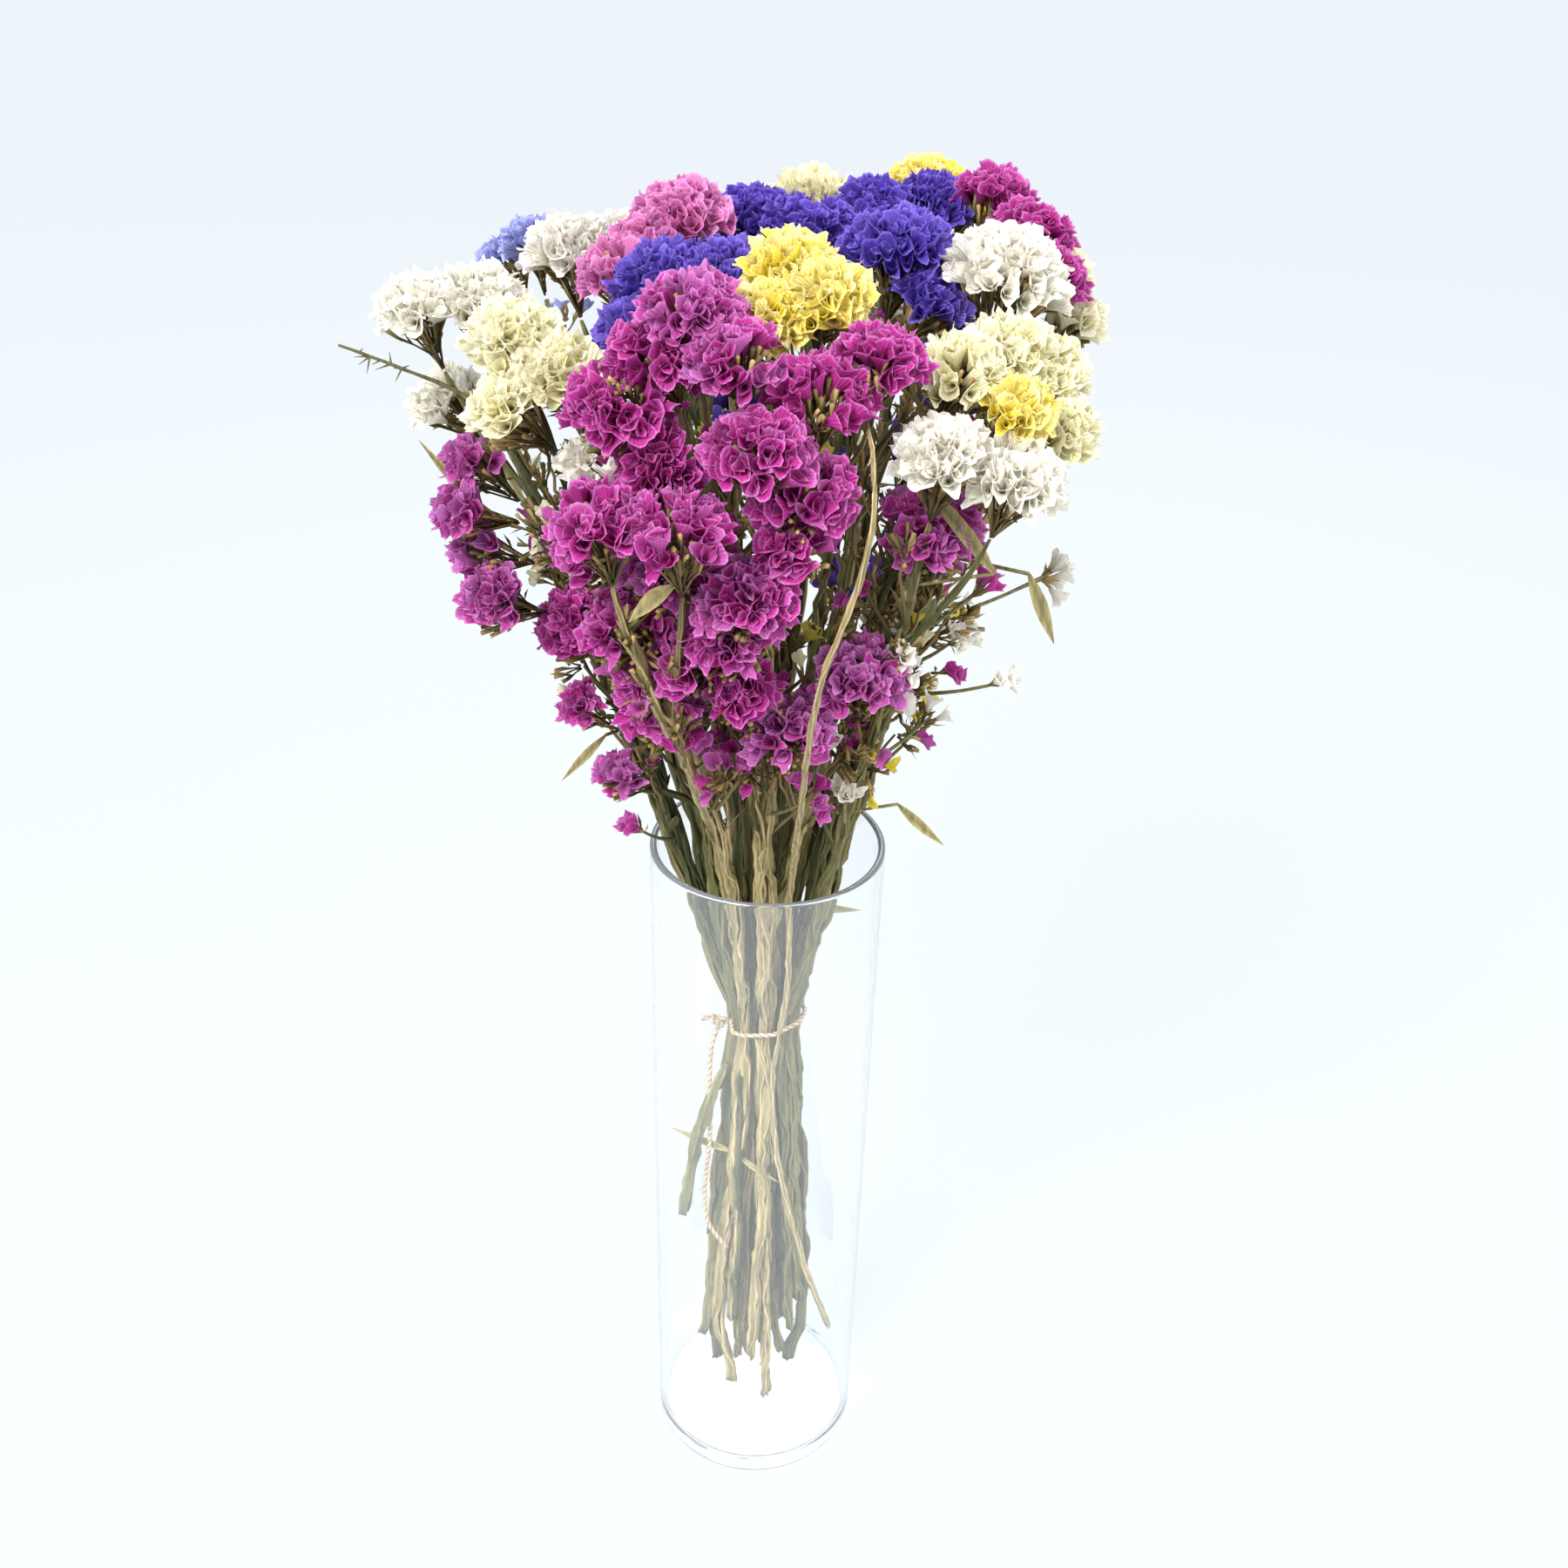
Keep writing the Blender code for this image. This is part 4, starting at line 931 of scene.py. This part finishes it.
def rope(gather, points, radius, draw, closed=False):
    """Two plies of jute laid round each other along points, as one two-lobed turning skin."""
    path, at = resampled(points, ROPE_STEP, 8)
    angle = 2 * np.pi * np.arange(ROPE_SIDES) / ROPE_SIDES
    pitch = at[-1] / max(1, round(at[-1] / TWINE_TURN)) if closed else TWINE_TURN
    lobes = np.broadcast_to(abs(np.cos(angle)), (len(at), ROPE_SIDES))
    factors = (0.60 + 0.40 * lobes ** 0.7 + 0.02 * draw.normal(size=lobes.shape)).clip(0.5, 1)
    twist = 2 * np.pi * at / pitch
    level = abs(points[-1] - points[0])[2] < 20 * MM
    up = np.array([[0, 0, 1.0]] if level else [[1.0, 0.2, 0]])
    tubes(gather, path[None], radius, ROPE_SIDES, 0.5, factors[None], lobes[None], up, twist[None])
    return path


def fibres(gather, path, count, length, draw, radius=TWINE_RADIUS):
    """Loose jute fibres that stand off a cord."""
    at = draw.integers(1, len(path) - 1, count)
    along = unit(path[at] - path[at - 1])
    out = unit(np.cross(along, draw.normal(size=(count, 3))))
    roots = path[at] + out * radius * 0.7
    far = draw.uniform(0.4, 1, (count, 1)) * length
    way = unit(out * 0.7 + along * draw.choice((-1, 1), (count, 1)) + draw.normal(size=(count, 3)) * 0.3)
    paths = np.stack([roots, roots + way * far * 0.5, roots + way * far + out * far * 0.3], axis=1)
    tubes(gather, paths, np.array(FIBRE_RADII) * MM, 3, draw.uniform(0, 1, count))


def twine_loop():
    """The middle line of the loop's solid, read from the frame."""
    verts = np.array([v.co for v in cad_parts["twine"].data.vertices])
    knot = np.array(KNOT) * MM
    verts = verts[np.linalg.norm(verts - knot, axis=1) > 4.5 * MM]
    middle = verts[:, :2].mean(axis=0)
    turns = np.arctan2(verts[:, 1] - middle[1], verts[:, 0] - middle[0])
    points = []
    for turn in np.linspace(0, 2 * math.pi, 73):
        gap = (turns - turn + math.pi) % (2 * math.pi) - math.pi
        weights = np.exp(-(gap / 0.16) ** 2) + 1e-9
        points.append((verts * weights[:, None]).sum(axis=0) / weights.sum())
    return np.array(points)


def knot_line():
    """An overhand knot's course, small and tight."""
    turn = np.linspace(0, 2 * math.pi, 60)
    knot = np.stack([
        np.sin(turn) + 2 * np.sin(2 * turn), 1.2 * np.sin(3 * turn), np.cos(turn) - 2 * np.cos(2 * turn),
    ], axis=1)
    return np.array(KNOT) * MM + knot * 0.85 * MM


def jute_pieces(material, draw):
    """The loop with its knot, and the free end with its loose fibres."""
    loop = Gather()
    path = rope(loop, twine_loop(), TWINE_RADIUS, draw, closed=True)
    fibres(loop, path, 110, 4 * MM, draw)
    fibres(loop, rope(loop, knot_line(), 0.95 * TWINE_RADIUS, draw), 70, 5 * MM, draw)
    stub = np.array(KNOT) * MM + np.array(KNOT_STUB) * MM
    stub_path = rope(loop, smooth_course(stub), 0.9 * TWINE_RADIUS, draw)
    fibres(loop, stub_path[-8:], 26, 4 * MM, draw)
    loop.piece("jute_loop", material, "jute", ["twine"])
    tail = Gather()
    route = smooth_course(np.array(TAIL) * MM)
    path = rope(tail, route, TWINE_RADIUS, draw)
    piece = tail.piece("jute_tail", material, "jute", ["twine_tail"])
    fuzz = Gather()
    fibres(fuzz, path, 150, 3.2 * MM, draw)
    fibres(fuzz, path[-6:], 24, 5 * MM, draw)
    hair = fuzz.piece("jute_tail_fibres", material, "jute")


def smooth_course(points, fine=14):
    """A smooth curve through points."""
    padded = np.vstack([2 * points[0] - points[1], points, 2 * points[-1] - points[-2]])
    found = []
    for i in range(1, len(padded) - 2):
        a, b, c, d = padded[i - 1:i + 3]
        for t in np.linspace(0, 1, fine, endpoint=False):
            eased = (2 * a - 5 * b + 4 * c - d) * t * t + (3 * b - a - 3 * c + d) * t ** 3
            found.append(0.5 * (2 * b + (c - a) * t + eased))
    return np.array(found + [points[-1]])


# Materials


def start_material(name):
    material = bpy.data.materials.new(name)
    material.use_nodes = True
    tree = material.node_tree
    tree.nodes.clear()
    return material, tree, tree.nodes.new("ShaderNodeOutputMaterial").inputs["Surface"]


def feed(tree, socket, value):
    """Sets an input, or links it to an output: a node's first, where the value is the node itself."""
    if isinstance(value, bpy.types.Node):
        value = value.outputs[0]
    if isinstance(value, bpy.types.NodeSocket):
        tree.links.new(value, socket)
    elif socket.type == "RGBA":
        socket.default_value = (*value, 1)
    else:
        socket.default_value = value


def node(tree, kind, *values, **inputs):
    """A shader node, its inputs fed in their order or by their names."""
    made = tree.nodes.new("ShaderNode" + kind)
    for socket, value in zip(made.inputs, values):
        feed(tree, socket, value)
    for name, value in inputs.items():
        feed(tree, made.inputs[name.replace("_", " ")], value)
    return made


def calculated(tree, operation, *values):
    made = node(tree, "Math", *values)
    made.operation = operation
    return made


def ramp(tree, factor, stops):
    """A colour ramp over a factor, from (place, colour) pairs. A grey may be given as one number."""
    made = node(tree, "ValToRGB", factor)
    elements = made.color_ramp.elements
    while len(elements) < len(stops):
        elements.new(0.5)
    for element, (place, colour) in zip(elements, stops):
        element.position = place
        element.color = (*np.broadcast_to(colour, 3).tolist(), 1)
    return made


def mixed(tree, how, factor, first, second):
    """Two colours mixed."""
    made = tree.nodes.new("ShaderNodeMix")
    made.data_type = "RGBA"
    made.blend_type = how
    for place, value in ((0, factor), (6, first), (7, second)):
        feed(tree, made.inputs[place], value)
    return made.outputs[2]


def shaded(tree, share, colour, factor, stops):
    """A colour multiplied by a ramp over a factor."""
    return mixed(tree, "MULTIPLY", share, colour, ramp(tree, factor, stops))


def noise(tree, scale, detail=3.0, stretch=(1, 1, 1)):
    place = tree.nodes.new("ShaderNodeTexCoord").outputs["Object"]
    mapping = node(tree, "Mapping", Vector=place, Scale=stretch)
    return node(tree, "TexNoise", Vector=mapping, Scale=scale, Detail=detail)


def tint_parts(tree):
    """The three tints of a vertex: along its form, its own chance, and ridge or valley."""
    read = tree.nodes.new("ShaderNodeVertexColor")
    read.layer_name = "tint"
    return list(node(tree, "SeparateColor", read).outputs)


def papery(tree, surface, colour, height, strength, distance, roughness, glow):
    """A dry leafy surface with a fine relief, that lets some light through."""
    normal = node(tree, "Bump", Height=height, Strength=strength, Distance=distance)
    shader = node(
        tree, "BsdfPrincipled", Base_Color=colour, Normal=normal, Roughness=roughness,
        Specular_IOR_Level=0.25,
    )
    through = node(tree, "BsdfTranslucent", Color=colour)
    feed(tree, surface, node(tree, "MixShader", glow, shader, through))


def petal_material(name, root, body, rim, fade):
    material, tree, surface = start_material(f"petal_{name}")
    along, chance, around = tint_parts(tree)
    pleat = calculated(tree, "SINE", calculated(tree, "MULTIPLY", around, math.pi * PLEATS))
    colour = ramp(tree, along, [(0.0, root), (0.30, body), (0.72, body), (1.0, rim)])
    colour = shaded(tree, 0.9, colour, chance, [(0.0, (0.82, 0.80, 0.82)), (0.4, 1.0), (1.0, 1.0)])
    colour = mixed(tree, "MIX", ramp(tree, chance, [(0.45, 0.0), (1.0, 0.62)]), colour, fade)
    # Painted shade: the colour is darkened in the pleats' valleys, standing for the shade in folds that the
    # funnels do not model
    colour = shaded(tree, 0.6, colour, pleat, [(0.0, (0.88, 0.86, 0.88)), (0.8, 1.05)])
    colour = shaded(tree, 0.6, colour, noise(tree, 900.0), [(0.3, (0.88, 0.86, 0.88)), (0.7, 1.06)])
    papery(tree, surface, colour, pleat, 0.5, 0.0003, 0.75, 0.36)
    return material


def stalk_material():
    material, tree, surface = start_material("stalk")
    _, chance, ridge = tint_parts(tree)
    colour = ramp(tree, chance, [
        (0.0, (0.085, 0.095, 0.040)), (0.35, (0.17, 0.165, 0.070)), (0.7, (0.30, 0.25, 0.115)),
        (1.0, (0.46, 0.37, 0.20)),
    ])
    # Painted shade: the hollows between the wings and the bracts' midribs are darkened, and the wing edges
    # made lighter
    wing_edges_and_painted_shade = [(0.05, (0.55, 0.55, 0.50)), (0.5, 1.0), (1.0, (1.5, 1.4, 1.25))]
    colour = shaded(tree, 0.85, colour, ridge, wing_edges_and_painted_shade)
    streak = noise(tree, 700.0, 4.0, (1, 1, 0.06))
    streaks = [(0.32, (0.55, 0.52, 0.46)), (0.55, 1.0), (0.75, (1.35, 1.25, 1.1))]
    colour = shaded(tree, 0.8, colour, streak, streaks)
    papery(tree, surface, colour, streak, 0.7, 0.0006, 0.7, 0.08)
    return material


def calyx_material():
    material, tree, surface = start_material("calyx")
    along, chance, ridge = tint_parts(tree)
    browns = [(0.0, (0.085, 0.080, 0.030)), (0.5, (0.22, 0.17, 0.070)), (1.0, (0.40, 0.31, 0.15))]
    colour = ramp(tree, chance, browns)
    colour = shaded(tree, 0.9, colour, along, [(0.0, 0.8), (1.0, (1.35, 1.2, 1.05))])
    # Painted shade: darker between the calyx tubes' ribs and along the bracts' midribs, lighter on the ribs
    # and edges
    colour = shaded(tree, 0.8, colour, ridge, [(0.2, 0.7), (1.0, (1.25, 1.2, 1.1))])
    papery(tree, surface, colour, noise(tree, 1500.0), 0.4, 0.0003, 0.8, 0.15)
    return material


def jute_material():
    material, tree, surface = start_material("jute")
    ridge = tint_parts(tree)[2]
    # Painted shade: the jute is darkened in the grooves between the plies, and lighter on their crowns
    browns = [(0.0, (0.20, 0.14, 0.08)), (0.5, (0.46, 0.35, 0.23)), (1.0, (0.62, 0.50, 0.36))]
    colour = ramp(tree, ridge, browns)
    strands = noise(tree, 1600.0, 4.0, (1, 1, 0.3))
    colour = shaded(tree, 0.8, colour, strands, [(0.3, (0.7, 0.66, 0.6)), (0.7, (1.2, 1.15, 1.1))])
    papery(tree, surface, colour, strands, 0.8, 0.0004, 0.9, 0.05)
    return material


def glass_material():
    """Clear glass with a trace of blue, which lets lamps through to what is inside. Past a few bounces it
    shows a painted teal glow, an emission that stands for light led along the wall.
    """
    material, tree, surface = start_material("glass")
    path = tree.nodes.new("ShaderNodeLightPath").outputs
    glass = node(
        tree, "BsdfPrincipled", Base_Color=(0.985, 0.998, 1.0), Roughness=0.0, IOR=1.46,
        Transmission_Weight=1.0,
    )
    dusty = node(tree, "MixShader", DUST, glass, node(tree, "BsdfDiffuse", Color=(0.86, 0.90, 0.92)))
    # Painted light: rays that have bounced long inside the glass meet a teal emission instead of more glass
    deep = calculated(tree, "GREATER_THAN", path["Ray Depth"], PAINTED_GLOW_AFTER)
    painted_glow = node(tree, "Emission", Color=(0.16, 0.56, 0.66), Strength=1.0)
    glass_or_painted_glow = node(tree, "MixShader", deep, dusty, painted_glow)
    clear = node(tree, "BsdfTransparent", Color=(0.99, 0.995, 1.0))
    feed(tree, surface, node(tree, "MixShader", path["Is Shadow Ray"], glass_or_painted_glow, clear))
    return material


# Stage


def floor_and_light():
    world = bpy.data.worlds.new("world")
    bpy.context.scene.world = world
    world.use_nodes = True
    background = world.node_tree.nodes["Background"]
    background.inputs["Color"].default_value = (*BACKDROP, 1)
    background.inputs["Strength"].default_value = 1.0
    data = bpy.data.meshes.new("floor")
    corners = [(-1, -1), (1, -1), (1, 1), (-1, 1)]
    data.from_pydata([(x * FLOOR_HALF, y * FLOOR_HALF, 0) for x, y in corners], [], [(0, 1, 2, 3)])
    material, tree, surface = start_material("floor")
    feed(tree, surface, node(
        tree, "BsdfPrincipled", Base_Color=(0.10, 0.10, 0.10), Roughness=0.9, Specular_IOR_Level=0.0,
        Emission_Color=BACKDROP, Emission_Strength=FLOOR_GLOW,
    ))
    data.materials.append(material)
    floor = placed("floor", data)
    for name, place, size, power in LAMPS:
        lamp = bpy.data.lights.new(name, "AREA")
        lamp.size = size
        lamp.energy = power
        thing = placed(name, lamp)
        thing.location = place
        thing.rotation_euler = (AIM - Vector(place)).to_track_quat("-Z", "Y").to_euler()


def camera():
    forward = Vector((0, math.cos(CAMERA_DOWN), -math.sin(CAMERA_DOWN)))
    level = Vector((1, 0, 0))
    above = level.cross(forward)
    right = math.cos(CAMERA_ROLL) * level + math.sin(CAMERA_ROLL) * above
    up = math.cos(CAMERA_ROLL) * above - math.sin(CAMERA_ROLL) * level
    data = bpy.data.cameras.new("camera")
    data.lens = CAMERA_LENS
    data.sensor_width = CAMERA_SENSOR
    data.clip_start = 0.02
    thing = placed("camera", data)
    turn = Matrix((right, up, -forward)).transposed().to_4x4()
    thing.matrix_world = Matrix.Translation(CAMERA_PLACE) @ turn
    bpy.context.scene.camera = thing


def main():
    camera()
    floor_and_light()
    scene = bpy.context.scene
    scene.view_settings.view_transform = "Standard"
    scene.cycles.max_bounces = 32
    scene.cycles.transmission_bounces = 32
    scene.cycles.transparent_max_bounces = 16
    materials = {name: petal_material(name, *stops) for name, stops in PETALS.items()}
    materials["stalk"] = stalk_material()
    materials["calyx"] = calyx_material()
    heads = read_heads()
    bundles = sorted({bundle for bundle, _, _ in heads.values()})
    box = [np.array(corner) for corner in cad_box]
    gathered = {
        bundle: bundle_pieces(bundle, heads, materials, box, BUNDLE_SEED + i)
        for i, bundle in enumerate(bundles)
    }
    for number, (name, (bundle, colour, lobes)) in enumerate(heads.items()):
        florets = Gather()
        others = tree_of([n for n in heads if n != name])
        head_pieces(colour, lobes, others, florets, gathered[bundle][0], HEAD_SEED + number)
        florets.piece(name.replace("head_", "florets_"), materials[colour], colour, [name])
    small_things([line for _, _, lines in gathered.values() for line in lines], materials)
    for bundle, (brushes, strays, _) in gathered.items():
        brushes.piece(f"calyxes_{bundle}", materials["calyx"], "stalk")
        for colour, florets in strays.items():
            if florets.count:
                florets.piece(f"strays_{bundle}_{colour}", materials[colour], colour)
    vase(glass_material())
    jute_pieces(jute_material(), np.random.default_rng(JUTE_SEED))


main()
